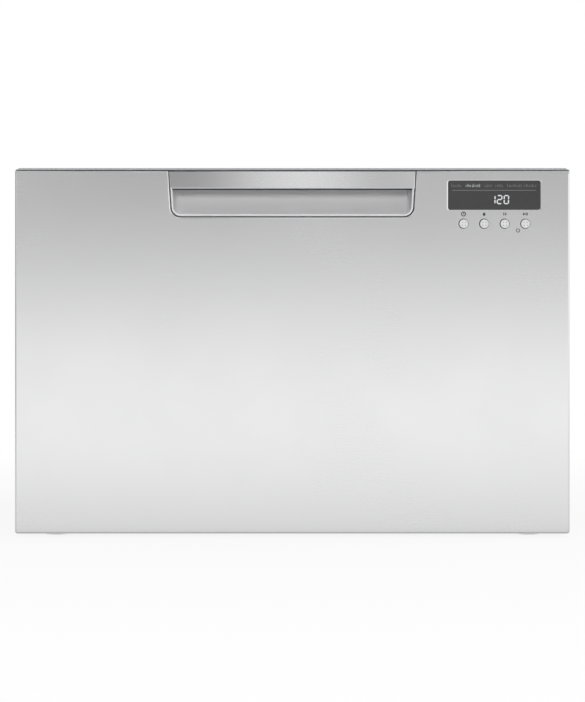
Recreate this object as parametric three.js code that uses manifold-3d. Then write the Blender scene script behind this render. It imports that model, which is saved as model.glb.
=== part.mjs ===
// A single-drawer built-in dishwasher, drawer shut, in millimetres.
// +Z is up, the front panel faces -Y, and the origin is on the floor at the middle of the footprint.
// The steel chassis stands on four levelling feet. The drawer is a moulded tub with a stainless front.
// It rolls out on telescopic runners, and a lid that stays in the chassis drops to seal it.
import * as THREE from "three";
import { mergeVertices } from "three/addons/utils/BufferGeometryUtils.js";
import Module from "manifold-3d";

const wasm = await Module();
wasm.setup();

// ---------------------------------------------------------------- driving dimensions
const applianceWidth = 599; // the front panel, edge to edge
const applianceDepth = 573; // panel face to chassis back
const floorGap = 4; // floor to the panel's lower edge
const skinHeight = 391.8; // the stainless front
const trimGap = 0.8; // dark joint between the front and the strip above it
const trimHeight = 2.4; // strip over the front
const trimBevel = 5; // how far the strip's ends slope in
const fit = 0.3; // joint between pieces that touch
const running = 0.4; // gap between pieces that move past each other

const panelDepth = 20;
const skinSheet = 0.8;
const skinEdgeRadius = 2.2;
const skinCornerRadius = 3;
const frameSheet = 2.2; // plastic inner frame of the front

const recessTopWidth = 267.8; // hand recess, widest at the top
const recessBottomWidth = 263;
const recessHeight = 49.9;
const recessCorner = 11;
const recessGap = 0.5; // joint round the recess
const scoopDepth = 27;
const scoopWall = 1.4;
const scoopRise = 24; // how far the curved floor of the scoop climbs
const scoopSide = 6; // how far its sides curve in
const barHeight = 19.2;
const barThickness = 1.6;
const barReturn = 9;

const windowWidth = 99.9;
const windowHeight = 31.5;
const windowCorner = 2.2;
const windowCentreX = 218;
const windowDrop = 26.2; // skin's top edge to the window's centre line
const windowThickness = 2.2;
const buttonDiameter = 10.5;
const buttonPitch = 22.2;
const buttonDrop = 57; // skin's top edge to the buttons' centre line
const buttonCount = 4;
const buttonSunk = 0.1; // cap below the panel's face
const buttonTravel = 1.2;

const chassisSheet = 1;
const chassisInset = 2.5; // chassis side behind the panel's edge
const chassisTopDrop = 2; // chassis top below the strip's top
const gasketGap = 2; // front frame to chassis front
const sideFlange = 12;
const beadDepth = 3;
const trayHeight = 20;
const trayWall = 2.5;
const trayLift = 5; // floor to the underside of the base tray
const footRadius = 20;
const studRadius = 6;
const footTravel = 15;
const controller = { length: 210, height: 62, centreX: -15, drop: 16, lidLip: 4 }; // electronics box
const backBeadHalf = 110; // half the width of each panel pressed in the back
const ventSpacing = 70;
const footInset = 36; // foot centre from the tray's side edges
const footSetback = 32; // foot centre from the tray's front and back edges

const drawerTravel = 520;
const runnerPack = 19; // room the telescopic runner takes between wall and tub
const runnerHeight = 46;
const runnerSheet = 1.2;
const runnerLip = 10;
const runnerClear = 0.35;
const runnerMargin = 2; // runner's front end behind the chassis front
const runnerRearSpace = 35;

const tubFloorHeight = 62; // floor to the tub's underside
const tubWall = 2.5;
const tubDraft = Math.tan(THREE.MathUtils.degToRad(1.5));
const tubCorner = 40;
const tubFloorRadius = 22;
const rimFlange = 8;
const rimThickness = 4;
const ledgeDepth = 11; // moulded ledge that carries the inner runner
const frontCavity = 36; // room for electronics between panel and tub
const rearSpace = 80; // room for valve and hoses behind the tub
const sumpRadius = 95;
const sumpDepth = 16;

const lidSpace = 47; // tub rim to chassis top
const lidLift = 6; // the lid's travel between raised and sealed
const lidThickness = 16;
const lidOverhang = 4;
const sealHeight = 4.3;
const sealWidth = 7;
const lidPinRadius = 2.5;
const lidPinInset = 68; // pin from the lid's front and back edges
const barTravel = 20; // stroke of the wedge bar that moves the lid
const barHeightLid = 25;
const barSheet = 4;

const rackBase = 98; // floor to the underside of the racks
const rackWire = 1.8;
const rackRimWire = 2.3;
const rackRimRise = 56;
const rackMargin = 6.5; // rack to tub wall
const rackGap = 12; // between the two racks
const tineLength = 62;
const tineWire = 1.6;
const tineAxle = 2.2;
const tineCount = 8;
const shelfReach = 86;
const shelfLength = 300;

const sprayRadius = 172;
const armLength = 400; // each arm of the folding hose link, pivot to pivot
const armWidth = 26;
const armHeight = 12;

// ---------------------------------------------------------------- planes and lines worked out from them
const frontY = -applianceDepth / 2;
const backY = applianceDepth / 2;
const skinBottom = floorGap;
const skinTop = skinBottom + skinHeight;
const trimTop = skinTop + trimGap + trimHeight;
const panelHalf = applianceWidth / 2;
const frameFrontY = frontY + panelDepth + fit;
const frameBackY = frameFrontY + frameSheet;
const chassisFrontY = frameBackY + gasketGap;
const chassisHalf = panelHalf - chassisInset;
const wallX = chassisHalf - chassisSheet; // inner face of the chassis side
const chassisTop = trimTop - chassisTopDrop;
const chassisTopSetback = scoopDepth - panelDepth + 6; // leaves room for the scoop
const chassisTopFrontY = chassisFrontY + chassisTopSetback;
const runnerX = wallX - runnerPack; // inner face of the runner pack
const tubHalf = runnerX - ledgeDepth;
const rimHalf = tubHalf + rimFlange;
const tubFrontY = frameBackY + frontCavity + 2;
const tubBackY = backY - rearSpace;
const tubMidY = (tubFrontY + tubBackY) / 2;
const tubLength = tubBackY - tubFrontY;
const rimZ = chassisTop - lidSpace;
const tubInnerFloor = tubFloorHeight + tubWall;
const lidBottom = rimZ + lidLift + running + sealHeight + fit;
const lidHalf = rimHalf - 2;
const lidFrontY = tubFrontY - rimFlange - lidOverhang;
const lidBackY = tubBackY + rimFlange + lidOverhang;
const recessBottom = skinTop - recessHeight;
const barBottom = skinTop - barHeight;
const windowZ = skinTop - windowDrop;
const buttonZ = skinTop - buttonDrop;
const frameBoxHalf = runnerX - 1;
const frameBoxBottom = skinBottom + 24;
const frameBoxTop = rimZ - 6;
const frameBoxBackY = frameBackY + frontCavity - 8;
const runnerFrontY = chassisFrontY + runnerMargin;
const runnerBackY = backY - runnerRearSpace;
const runnerZ = (tubFloorHeight + rimZ) / 2 + 20;

// ---------------------------------------------------------------- finishes
const finish = (color, roughness, metalness = 0) =>
  new THREE.MeshStandardMaterial({ color, roughness, metalness });
const stainless = finish(0xc9cacb, 0.34, 1);
const brushedBar = finish(0xd2d2d3, 0.3, 1);
const galvanised = finish(0xa9adb0, 0.45, 1);
const runnerSteel = finish(0xbfc2c5, 0.35, 1);
const frameGrey = finish(0x9fa1a3, 0.5);
const tubGrey = finish(0xd9dcde, 0.45);
const lidGrey = finish(0xcfd2d4, 0.5);
const trayBlack = finish(0x2b2d30, 0.6);
const rubber = finish(0x1f2022, 0.8);
const glassGrey = finish(0x494949, 0.12);
const silverPlastic = finish(0xe2e2e2, 0.35);
const whitePlastic = finish(0xeceeef, 0.5);
const boardGreen = finish(0x2c5e43, 0.6);
const rackCoat = finish(0x8f959b, 0.45);
const basketGrey = finish(0x6d7277, 0.55);
const hoseGrey = finish(0x55585b, 0.6);
const capBlue = finish(0x3b6ea5, 0.4);
const filterSteel = finish(0xb4b6b8, 0.35, 1);

// ---------------------------------------------------------------- solids from three.js geometry
function solidOf(geometry) {
  const bare = geometry.index ? geometry.toNonIndexed() : geometry.clone();
  bare.deleteAttribute("normal");
  bare.deleteAttribute("uv");
  const merged = mergeVertices(bare, 1e-4);
  const vertProperties = merged.attributes.position.array;
  const triVerts = new Uint32Array(merged.index.array);
  return new wasm.Manifold(new wasm.Mesh({ numProp: 3, vertProperties, triVerts }));
}

function geometryOf(solid) {
  const { vertProperties, triVerts, numProp, numVert } = solid.getMesh();
  const positions = new Float32Array(numVert * 3);
  for (let i = 0; i < numVert; i++) {
    positions.set(vertProperties.subarray(i * numProp, i * numProp + 3), i * 3);
  }
  const geometry = new THREE.BufferGeometry();
  geometry.setAttribute("position", new THREE.BufferAttribute(positions, 3));
  geometry.setIndex(new THREE.BufferAttribute(triVerts, 1));
  geometry.computeVertexNormals();
  return geometry;
}

const join = (...solids) => solids.flat().reduce((whole, piece) => whole.add(piece));
const cut = (solid, ...tools) => tools.flat().reduce((whole, tool) => whole.subtract(tool), solid);

// The same solid moved by a matrix; a mirroring matrix turns each face round.
function moved(solid, matrix) {
  const geometry = geometryOf(solid).applyMatrix4(matrix);
  if (matrix.determinant() < 0) {
    const index = geometry.index.array;
    for (let i = 0; i < index.length; i += 3) {
      [index[i + 1], index[i + 2]] = [index[i + 2], index[i + 1]];
    }
  }
  return solidOf(geometry);
}
const shifted = (solid, x, y, z) => moved(solid, new THREE.Matrix4().makeTranslation(x, y, z));
const mirrored = (solid) => moved(solid, new THREE.Matrix4().makeScale(-1, 1, 1));

function block([x0, x1], [y0, y1], [z0, z1]) {
  const box = new THREE.BoxGeometry(x1 - x0, y1 - y0, z1 - z0);
  return solidOf(box.translate((x0 + x1) / 2, (y0 + y1) / 2, (z0 + z1) / 2));
}

// A round bar along x, y or z. Its centre is given by the two other coordinates, in x, y, z order.
function rod(axis, radius, [from, to], [a, b], sides = 20, endRadius = radius) {
  const bar = new THREE.CylinderGeometry(endRadius, radius, to - from, sides);
  const middle = (from + to) / 2;
  if (axis === "x") return solidOf(bar.rotateZ(-Math.PI / 2).translate(middle, a, b));
  if (axis === "z") return solidOf(bar.rotateX(Math.PI / 2).translate(a, b, middle));
  return solidOf(bar.translate(a, middle, b));
}

// Outlines drawn from the front (x, z), from the side (y, z) or from above (x, y), pushed through.
const extruded = (shape, depth, curveSegments) =>
  new THREE.ExtrudeGeometry(shape, { depth, bevelEnabled: false, curveSegments });

function frontPrism(shape, [y0, y1], curveSegments = 5) {
  return solidOf(extruded(shape, y1 - y0, curveSegments).rotateX(Math.PI / 2).translate(0, y1, 0));
}

function sidePrism(shape, [x0, x1], curveSegments = 5) {
  const turn = new THREE.Matrix4().makeBasis(
    new THREE.Vector3(0, 1, 0),
    new THREE.Vector3(0, 0, 1),
    new THREE.Vector3(1, 0, 0),
  );
  return solidOf(extruded(shape, x1 - x0, curveSegments).applyMatrix4(turn).translate(x0, 0, 0));
}

function planPrism(shape, [z0, z1], curveSegments = 5) {
  return solidOf(extruded(shape, z1 - z0, curveSegments).translate(0, 0, z0));
}

function polygon(points) {
  return new THREE.Shape(points.map(([u, v]) => new THREE.Vector2(u, v)));
}

function roundedShape(halfU, halfV, radius, u = 0, v = 0) {
  const shape = new THREE.Shape();
  shape.absarc(u + halfU - radius, v - halfV + radius, radius, -Math.PI / 2, 0);
  shape.absarc(u + halfU - radius, v + halfV - radius, radius, 0, Math.PI / 2);
  shape.absarc(u - halfU + radius, v + halfV - radius, radius, Math.PI / 2, Math.PI);
  shape.absarc(u - halfU + radius, v - halfV + radius, radius, Math.PI, Math.PI * 1.5);
  shape.closePath();
  return shape;
}

// A bar with round ends between two points of its plane.
function slotShape([u0, v0], [u1, v1], radius) {
  const turn = Math.atan2(v1 - v0, u1 - u0);
  const shape = new THREE.Shape();
  shape.absarc(u1, v1, radius, turn - Math.PI / 2, turn + Math.PI / 2);
  shape.absarc(u0, v0, radius, turn + Math.PI / 2, turn + Math.PI * 1.5);
  shape.closePath();
  return shape;
}

// A closed skin through rings of points, each ring with the same count.
function loft(rings) {
  const count = rings[0].length;
  const points = rings.flat();
  const last = rings.length - 1;
  const middle = (ring) =>
    ring.reduce((sum, p) => sum.add(p), new THREE.Vector3()).divideScalar(ring.length);
  points.push(middle(rings[0]), middle(rings[last]));
  const faces = [];
  for (let j = 0; j < count; j++) {
    const next = (j + 1) % count;
    faces.push([points.length - 2, next, j]);
    faces.push([points.length - 1, last * count + j, last * count + next]);
    for (let i = 0; i < last; i++) {
      const [a, b] = [i * count + j, i * count + next];
      faces.push([a, b, b + count], [a, b + count, a + count]);
    }
  }
  const volume = faces.reduce((sum, [a, b, c]) => {
    return sum + points[a].dot(new THREE.Vector3().crossVectors(points[b], points[c]));
  }, 0);
  if (volume < 0) faces.forEach((face) => face.reverse());
  const geometry = new THREE.BufferGeometry().setFromPoints(points);
  geometry.setIndex(faces.flat());
  return solidOf(geometry);
}

// Corner points of a rounded rectangle as [u, v] pairs, anticlockwise.
function roundedRing(halfU, halfV, radius, steps = 4) {
  const ring = [];
  for (let corner = 0; corner < 4; corner++) {
    const u = (corner === 0 || corner === 3 ? 1 : -1) * (halfU - radius);
    const v = (corner < 2 ? 1 : -1) * (halfV - radius);
    for (let k = 0; k <= steps; k++) {
      const angle = (corner + k / steps) * (Math.PI / 2);
      ring.push([u + radius * Math.cos(angle), v + radius * Math.sin(angle)]);
    }
  }
  return ring;
}

// A wire along points that lie in one plane, mitred at its bends. normal is square to the plane.
function wire(points, radius, normal, { sides = 4, closed = false } = {}) {
  const line = points.map((p) => new THREE.Vector3(...p));
  const across = new THREE.Vector3(...normal);
  const count = line.length;
  const direction = (i, j) => new THREE.Vector3().subVectors(line[j], line[i]).normalize();
  const rings = line.map((p, i) => {
    const inward = i > 0 || closed ? direction((i + count - 1) % count, i) : direction(i, i + 1);
    const onward = i < count - 1 || closed ? direction(i, (i + 1) % count) : inward;
    const along = new THREE.Vector3().addVectors(inward, onward).normalize();
    const side = new THREE.Vector3().crossVectors(along, across).divideScalar(along.dot(inward));
    return Array.from({ length: sides }, (_, k) => {
      const angle = ((k + 0.5) / sides) * Math.PI * 2;
      return p
        .clone()
        .addScaledVector(side, radius * Math.cos(angle))
        .addScaledVector(across, radius * Math.sin(angle));
    });
  });
  return closed ? ringOf(rings) : loft(rings);
}

// A ring-shaped skin: the last ring of points joins the first.
function ringOf(rings) {
  const sides = rings[0].length;
  const points = rings.flat();
  const faces = [];
  rings.forEach((_, i) => {
    const here = i * sides;
    const there = ((i + 1) % rings.length) * sides;
    for (let k = 0; k < sides; k++) {
      const next = (k + 1) % sides;
      faces.push([here + k, here + next, there + next], [here + k, there + next, there + k]);
    }
  });
  const volume = faces.reduce((sum, [a, b, c]) => {
    return sum + points[a].dot(new THREE.Vector3().crossVectors(points[b], points[c]));
  }, 0);
  if (volume < 0) faces.forEach((face) => face.reverse());
  const geometry = new THREE.BufferGeometry().setFromPoints(points);
  geometry.setIndex(faces.flat());
  return solidOf(geometry);
}

const turned = (profile, sides = 24) =>
  solidOf(
    new THREE.LatheGeometry(
      profile.map(([r, z]) => new THREE.Vector2(r, z)),
      sides,
    ).rotateX(Math.PI / 2),
  );

// Evenly spaced values, ends included.
const spread = (from, to, count) =>
  Array.from({ length: count }, (_, i) => from + ((to - from) * i) / (count - 1));

// ---------------------------------------------------------------- the scene graph
const appliance = new THREE.Group();
const chassis = new THREE.Group();
const drawer = new THREE.Group();
appliance.add(chassis, drawer);

function place(group, name, solid, material, [x, y, z] = [0, 0, 0]) {
  const mesh = new THREE.Mesh(geometryOf(solid), material);
  mesh.name = name;
  mesh.position.set(x, y, z);
  group.add(mesh);
}

function placePair(group, name, rightSolid, material) {
  place(group, `${name}_left`, mirrored(rightSolid), material);
  place(group, `${name}_right`, rightSolid, material);
}

// ---------------------------------------------------------------- chassis shell
// A shallow pressed panel in a sheet: the bulge to add and the hollow to cut behind it.
// at(u, v, depth) turns the panel's own coordinates into a point.
function bead(at, [u0, u1], [v0, v1]) {
  const slope = beadDepth * 1.5;
  const corner = beadDepth * 3;
  const ringAt = (inset, depth) =>
    roundedRing((u1 - u0) / 2 - inset, (v1 - v0) / 2 - inset, corner - inset, 1).map(([u, v]) =>
      at(u + (u0 + u1) / 2, v + (v0 + v1) / 2, depth),
    );
  return {
    bulge: loft([ringAt(0, chassisSheet / 2), ringAt(slope, chassisSheet + beadDepth)]),
    hollow: loft([ringAt(0, -0.01), ringAt(slope * 1.08, beadDepth)]),
  };
}

function withBeads(sheet, beads) {
  return cut(join(sheet, ...beads.map((b) => b.bulge)), ...beads.map((b) => b.hollow));
}

const tubLevel = (share) => tubFloorHeight + (rimZ - tubFloorHeight) * share;

function chassisSide() {
  const z0 = trayLift + 1;
  const z1 = chassisTop - chassisSheet - fit;
  const y1 = backY - chassisSheet - fit;
  const flangeX = [wallX - sideFlange, wallX];
  const sheet = join(
    block([wallX, chassisHalf], [chassisFrontY, y1], [z0, z1]),
    block(flangeX, [chassisFrontY, chassisFrontY + chassisSheet], [z0, z1]),
    block(flangeX, [y1 - chassisSheet, y1], [z0, z1]),
    block(flangeX, [chassisFrontY, y1], [z1 - chassisSheet, z1]),
  );
  const at = (u, v, depth) => new THREE.Vector3(chassisHalf - depth, u, v);
  const panelWidth = (y1 - chassisFrontY) / 2 - 50;
  const lowBand = [tubLevel(0), runnerZ - runnerHeight / 2 - 14];
  const beads = [-1, 1].map((k) => {
    const middle = (chassisFrontY + y1) / 2 + k * (panelWidth / 2 + 9);
    return bead(at, [middle - panelWidth / 2, middle + panelWidth / 2], lowBand);
  });
  const highBand = [runnerZ + runnerHeight / 2 + 14, rimZ - 8];
  beads.push(bead(at, [chassisFrontY + 40, y1 - 40], highBand));
  const runnerNotch = block(
    [wallX - sideFlange - 1, wallX],
    [chassisFrontY - 1, chassisFrontY + chassisSheet + 1],
    [runnerZ - runnerHeight / 2 - 3, runnerZ + runnerHeight / 2 + 3],
  );
  const fixingHoles = [tubLevel(0.05), tubLevel(0.9)].map((z) =>
    rod("x", 2.6, [wallX - 1, chassisHalf + 1], [chassisFrontY + 18, z], 6),
  );
  return cut(withBeads(sheet, beads), runnerNotch, fixingHoles);
}

function chassisTopSheet() {
  const z = [chassisTop - chassisSheet, chassisTop];
  const sheet = join(
    block([-chassisHalf, chassisHalf], [chassisTopFrontY, backY], z),
    block(
      [-wallX + sideFlange + 2, wallX - sideFlange - 2],
      [chassisTopFrontY, chassisTopFrontY + chassisSheet],
      [chassisTop - 9, chassisTop],
    ),
  );
  const at = (u, v, depth) => new THREE.Vector3(u, v, chassisTop - depth);
  const bandWidth = (chassisHalf * 2) / 3 - 40;
  const beads = [-1, 0, 1].map((k) => {
    const middle = k * (bandWidth + 24);
    return bead(at, [middle - bandWidth / 2, middle + bandWidth / 2], [chassisTopFrontY + 30, backY - 35]);
  });
  return withBeads(sheet, beads);
}

const serviceBay = { x: [-238, -62], z: [22, 78] }; // opening in the back for the water connections

function chassisBack() {
  const z = [trayLift + 1, chassisTop - chassisSheet - fit];
  const sheet = block([-chassisHalf, chassisHalf], [backY - chassisSheet, backY], z);
  const at = (u, v, depth) => new THREE.Vector3(u, backY - depth, v);
  const beads = [-1, 1].map((side) =>
    bead(
      at,
      [side * chassisHalf * 0.47 - backBeadHalf, side * chassisHalf * 0.47 + backBeadHalf],
      [tubLevel(0.22), tubLevel(0.72)],
    ),
  );
  const slotY = [backY - chassisSheet - 1, backY + 1];
  const vents = [-1.5, -0.5, 0.5, 1.5].map((k) => k * ventSpacing).map((x) =>
    frontPrism(slotShape([x - 16, tubLevel(0.86)], [x + 16, tubLevel(0.86)], 3), slotY, 2),
  );
  const bayShape = roundedShape(
    (serviceBay.x[1] - serviceBay.x[0]) / 2,
    (serviceBay.z[1] - serviceBay.z[0]) / 2,
    6,
    (serviceBay.x[0] + serviceBay.x[1]) / 2,
    (serviceBay.z[0] + serviceBay.z[1]) / 2,
  );
  return cut(withBeads(sheet, beads), frontPrism(bayShape, slotY, 2), vents);
}

const trayHalf = wallX - fit;
const trayFrontY = chassisFrontY + chassisSheet + 1;
const trayBackY = backY - chassisSheet * 2 - fit * 2 - 0.5;
const footX = trayHalf - footInset;
const footYs = [trayFrontY + footSetback, trayBackY - footSetback];
const linkBase = { x: -200, y: backY - 62 }; // rear pivot of the hose link
const linkArmZ = trayLift + trayWall + 6.5; // underside of the rear arm
const linkStep = armHeight + 2; // front arm above the rear arm

function baseTray() {
  const z1 = trayLift + trayHeight;
  const middleY = (trayFrontY + trayBackY) / 2;
  const halfY = (trayBackY - trayFrontY) / 2;
  const outer = planPrism(roundedShape(trayHalf, halfY, 12, 0, middleY), [trayLift, z1], 1);
  const inner = planPrism(
    roundedShape(trayHalf - trayWall, halfY - trayWall, 12 - trayWall, 0, middleY),
    [trayLift + trayWall, z1 + 1],
    1,
  );
  const ribTop = trayLift + trayWall + 4;
  const ribsAlong = [-110, 110].map((x) =>
    block([x - 1.5, x + 1.5], [trayFrontY + 1, trayBackY - 1], [trayLift + 1, ribTop]),
  );
  const ribsAcross = [-120, 60].map((y) =>
    block([-trayHalf + 1, trayHalf - 1], [y - 1.5, y + 1.5], [trayLift + 1, ribTop]),
  );
  const bosses = [];
  const bores = [];
  for (const x of [-footX, footX]) {
    for (const y of footYs) {
      bosses.push(rod("z", studRadius + 8, [trayLift + 1, z1 + 2], [x, y], 8));
      bores.push(rod("z", studRadius + running, [trayLift - 1, z1 + 3], [x, y], 8));
    }
  }
  const turret = rod("z", 14, [trayLift + 1, linkArmZ - running], [linkBase.x, linkBase.y], 10);
  const pivot = rod("z", 5, [trayLift + 1, linkArmZ + armHeight + 2], [linkBase.x, linkBase.y], 8);
  // the front wall is low so that the pump and the hose link pass over it
  const passage = block([-trayHalf + 60, trayHalf - 60], [trayFrontY - 1, trayFrontY + trayWall + 1], [ribTop, z1 + 1]);
  return cut(join(cut(outer, inner), ribsAlong, ribsAcross, bosses, turret, pivot), bores, passage);
}

function levellingFoot() {
  const padTop = trayLift - 0.8;
  const studTop = trayLift + trayHeight + footTravel - 2;
  return turned(
    [
      [0, 0],
      [footRadius, 0],
      [footRadius, padTop - 1],
      [footRadius - 1.5, padTop],
      [studRadius, padTop],
      [studRadius, studTop],
      [0, studTop],
    ],
    8,
  );
}

// ---------------------------------------------------------------- telescopic runners
// A channel seen from the front: web at x = webX, lips towards the given side (+1 or -1).
function channel(webX, side, halfHeight, lip) {
  const t = runnerSheet;
  const far = webX + side * lip;
  return frontPrism(
    polygon([
      [webX, -halfHeight],
      [far, -halfHeight],
      [far, -halfHeight + t],
      [webX + side * t, -halfHeight + t],
      [webX + side * t, halfHeight - t],
      [far, halfHeight - t],
      [far, halfHeight],
      [webX, halfHeight],
    ]),
    [runnerFrontY, runnerBackY],
  );
}

const runnerMember = {
  outer: { webX: wallX - fit, side: -1, half: runnerHeight / 2 },
  middle: { webX: wallX - 4, side: -1, half: runnerHeight / 2 - runnerSheet - runnerClear },
  inner: { webX: runnerX, side: 1, half: runnerHeight / 2 - 2 * (runnerSheet + runnerClear) },
};

function runnerOuter() {
  const { webX, side, half } = runnerMember.outer;
  const stop = block([webX - 8, webX - 0.5], [runnerBackY - 3, runnerBackY], [-8, 8]);
  return join(channel(webX, side, half, runnerLip), stop);
}

function runnerMiddle() {
  const { webX, side, half } = runnerMember.middle;
  const holes = spread(runnerFrontY + 60, runnerBackY - 60, 3).map((y) =>
    rod("x", 5, [webX - runnerSheet - 1, webX + 1], [y, 0], 6),
  );
  const body = channel(webX, side, half, runnerLip);
  return cut(shorten(body), holes);
}

function runnerInner() {
  const { webX, side, half } = runnerMember.inner;
  const holes = spread(runnerFrontY + 90, runnerBackY - 90, 3).map((y) =>
    rod("x", 3, [webX - 1, webX + runnerSheet + 1], [y, 0], 6),
  );
  return cut(shorten(channel(webX, side, half, runnerLip)), holes);
}

// Sliding members stop short of the buffer at the back of the fixed one.
function shorten(member) {
  const behind = [runnerBackY - 3 - running, runnerBackY + 1];
  return cut(member, block([-chassisHalf, chassisHalf], behind, [-runnerHeight, runnerHeight]));
}

// ---------------------------------------------------------------- lid and its lifting gear
const lidMidY = (lidFrontY + lidBackY) / 2;
const lidHalfY = (lidBackY - lidFrontY) / 2;
const lidPinZ = lidBottom + lidThickness - 5;
const lidPinYs = [lidFrontY + lidPinInset, lidBackY - lidPinInset];
const guideWebX = wallX - 14.5;
const guideBottom = rimZ + 7.5;
const guideTop = chassisTop - 9;
const wedgeX = [guideWebX - 2 - barSheet, guideWebX - 2];
const wedgeZ = [guideBottom + 1.5 + 0.5, guideBottom + 2 + barHeightLid];
const actuatorY = [lidBackY + 4, backY - chassisSheet - fit];

function lidPanel() {
  const z1 = lidBottom + lidThickness;
  const outer = planPrism(roundedShape(lidHalf, lidHalfY, tubCorner, 0, lidMidY), [lidBottom, z1], 3);
  const hollowShape = roundedShape(lidHalf - 3, lidHalfY - 3, tubCorner - 3, 0, lidMidY);
  const hollow = planPrism(hollowShape, [lidBottom + 2.5, z1 + 1], 3);
  const ribZ = [lidBottom + 1, z1 - 2];
  const ribsAcross = spread(lidFrontY, lidBackY, 4)
    .slice(1, -1)
    .map((y) => block([-lidHalf + 1, lidHalf - 1], [y - 1.2, y + 1.2], ribZ));
  const ribsAlong = spread(-lidHalf, lidHalf, 4)
    .slice(1, -1)
    .map((x) => block([x - 1.2, x + 1.2], [lidFrontY + 1, lidBackY - 1], ribZ));
  const pins = [];
  for (const y of lidPinYs) {
    pins.push(rod("x", lidPinRadius, [lidHalf - 2, guideWebX + 3], [y, lidPinZ], 8));
    pins.push(rod("x", lidPinRadius, [-guideWebX - 3, -lidHalf + 2], [y, lidPinZ], 8));
  }
  return join(cut(outer, hollow), ribsAcross, ribsAlong, pins);
}

// The seal's section carried round the tub's rim.
function lidSeal() {
  const top = lidBottom - fit;
  const middle = 2.5 + sealWidth / 2;
  const section = [
    [2.5, top],
    [2.5 + sealWidth, top],
    [2.5 + sealWidth, top - sealHeight * 0.4],
    [middle + 1.6, top - sealHeight],
    [middle - 1.6, top - sealHeight],
    [2.5, top - sealHeight * 0.4],
  ];
  const lines = section.map(([inset, z]) =>
    roundedRing(rimHalf - inset, lidHalfY - lidOverhang + 2 - inset, tubCorner - inset, 3).map(
      ([x, y]) => new THREE.Vector3(x, y + lidMidY, z),
    ),
  );
  return ringOf(lines[0].map((_, i) => lines.map((line) => line[i])));
}

function lidGuide() {
  const t = 1.5;
  const outerX = wallX - fit;
  const profile = polygon([
    [wedgeX[0] - 1, guideBottom],
    [guideWebX + t, guideBottom],
    [guideWebX + t, guideTop - t],
    [outerX - t, guideTop - t],
    [outerX - t, guideTop - 20],
    [outerX, guideTop - 20],
    [outerX, guideTop],
    [guideWebX, guideTop],
    [guideWebX, guideBottom + t],
    [wedgeX[0] - 1, guideBottom + t],
  ]);
  const rail = frontPrism(profile, [lidPinYs[0] - 35, lidPinYs[1] + 35]);
  const slots = lidPinYs.map((y) =>
    sidePrism(
      slotShape([y, lidPinZ - lidLift], [y, lidPinZ], lidPinRadius + running),
      [guideWebX - 1, guideWebX + t + 1],
      2,
    ),
  );
  return cut(rail, slots);
}

// A flat bar whose sloping slots push the lid's pins down as it slides back.
function lidWedge() {
  const bar = block(wedgeX, [lidPinYs[0] - 30, actuatorY[0] + 30], wedgeZ);
  const slots = lidPinYs.map((y) =>
    sidePrism(
      slotShape([y, lidPinZ], [y - barTravel, lidPinZ - lidLift], lidPinRadius + running),
      [wedgeX[0] - 1, wedgeX[1] + 1],
      2,
    ),
  );
  return cut(bar, slots);
}

function lidActuator() {
  const [y0, y1] = actuatorY;
  const x = [guideWebX - 47, guideWebX + 1.5];
  const z = [guideBottom, guideTop - 2];
  const housing = block(x, [y0, y1], z);
  const motorZ = (z[0] + z[1]) / 2;
  const motor = rod("x", 13, [x[0] - 26, x[0] + 1], [(y0 + y1) / 2, motorZ], 12);
  const boss = rod("x", 6, [x[0] - 30, x[0] - 25], [(y0 + y1) / 2, motorZ], 8);
  const pocket = block(
    [wedgeX[0] - running, wedgeX[1] + running],
    [y0 - 1, actuatorY[0] + 30 + barTravel + 2],
    [wedgeZ[0] - running, wedgeZ[1] + running],
  );
  const lighten = block([x[0] + 4, wedgeX[0] - 5], [y0 + 5, y1 + 1], [z[1] - 6, z[1] + 1]);
  return cut(join(housing, motor, boss), pocket, lighten);
}

// ---------------------------------------------------------------- water connections at the back
const valveX = -100;
const drainX = -170;
const serviceZ = 50;

function inletValve() {
  const y1 = backY - 1;
  const body = block([valveX - 20, valveX + 20], [y1 - 48, y1 - 14], [serviceZ - 16, serviceZ + 16]);
  const collar = rod("y", 17, [y1 - 16, y1 - 10], [valveX, serviceZ], 12);
  const thread = rod("y", 13.2, [y1 - 12, y1], [valveX, serviceZ], 12);
  const bore = rod("y", 9.5, [y1 - 10, y1 + 1], [valveX, serviceZ], 12);
  const coil = rod("z", 14, [serviceZ + 15, serviceZ + 44], [valveX, y1 - 31], 10);
  const cap = rod("z", 8, [serviceZ + 43, serviceZ + 50], [valveX, y1 - 31], 8);
  const terminals = block([valveX + 13, valveX + 21], [y1 - 38, y1 - 24], [serviceZ + 22, serviceZ + 36]);
  const legHalf = 7;
  const leg = block(
    [valveX - legHalf, valveX + legHalf],
    [y1 - 40, y1 - 26],
    [trayLift + trayWall + 4 + fit, serviceZ - 15],
  );
  const outlet = rod("x", 7, [valveX - 34, valveX - 19], [y1 - 31, serviceZ], 8);
  return cut(join(body, collar, thread, coil, cap, terminals, leg, outlet), bore);
}

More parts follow.
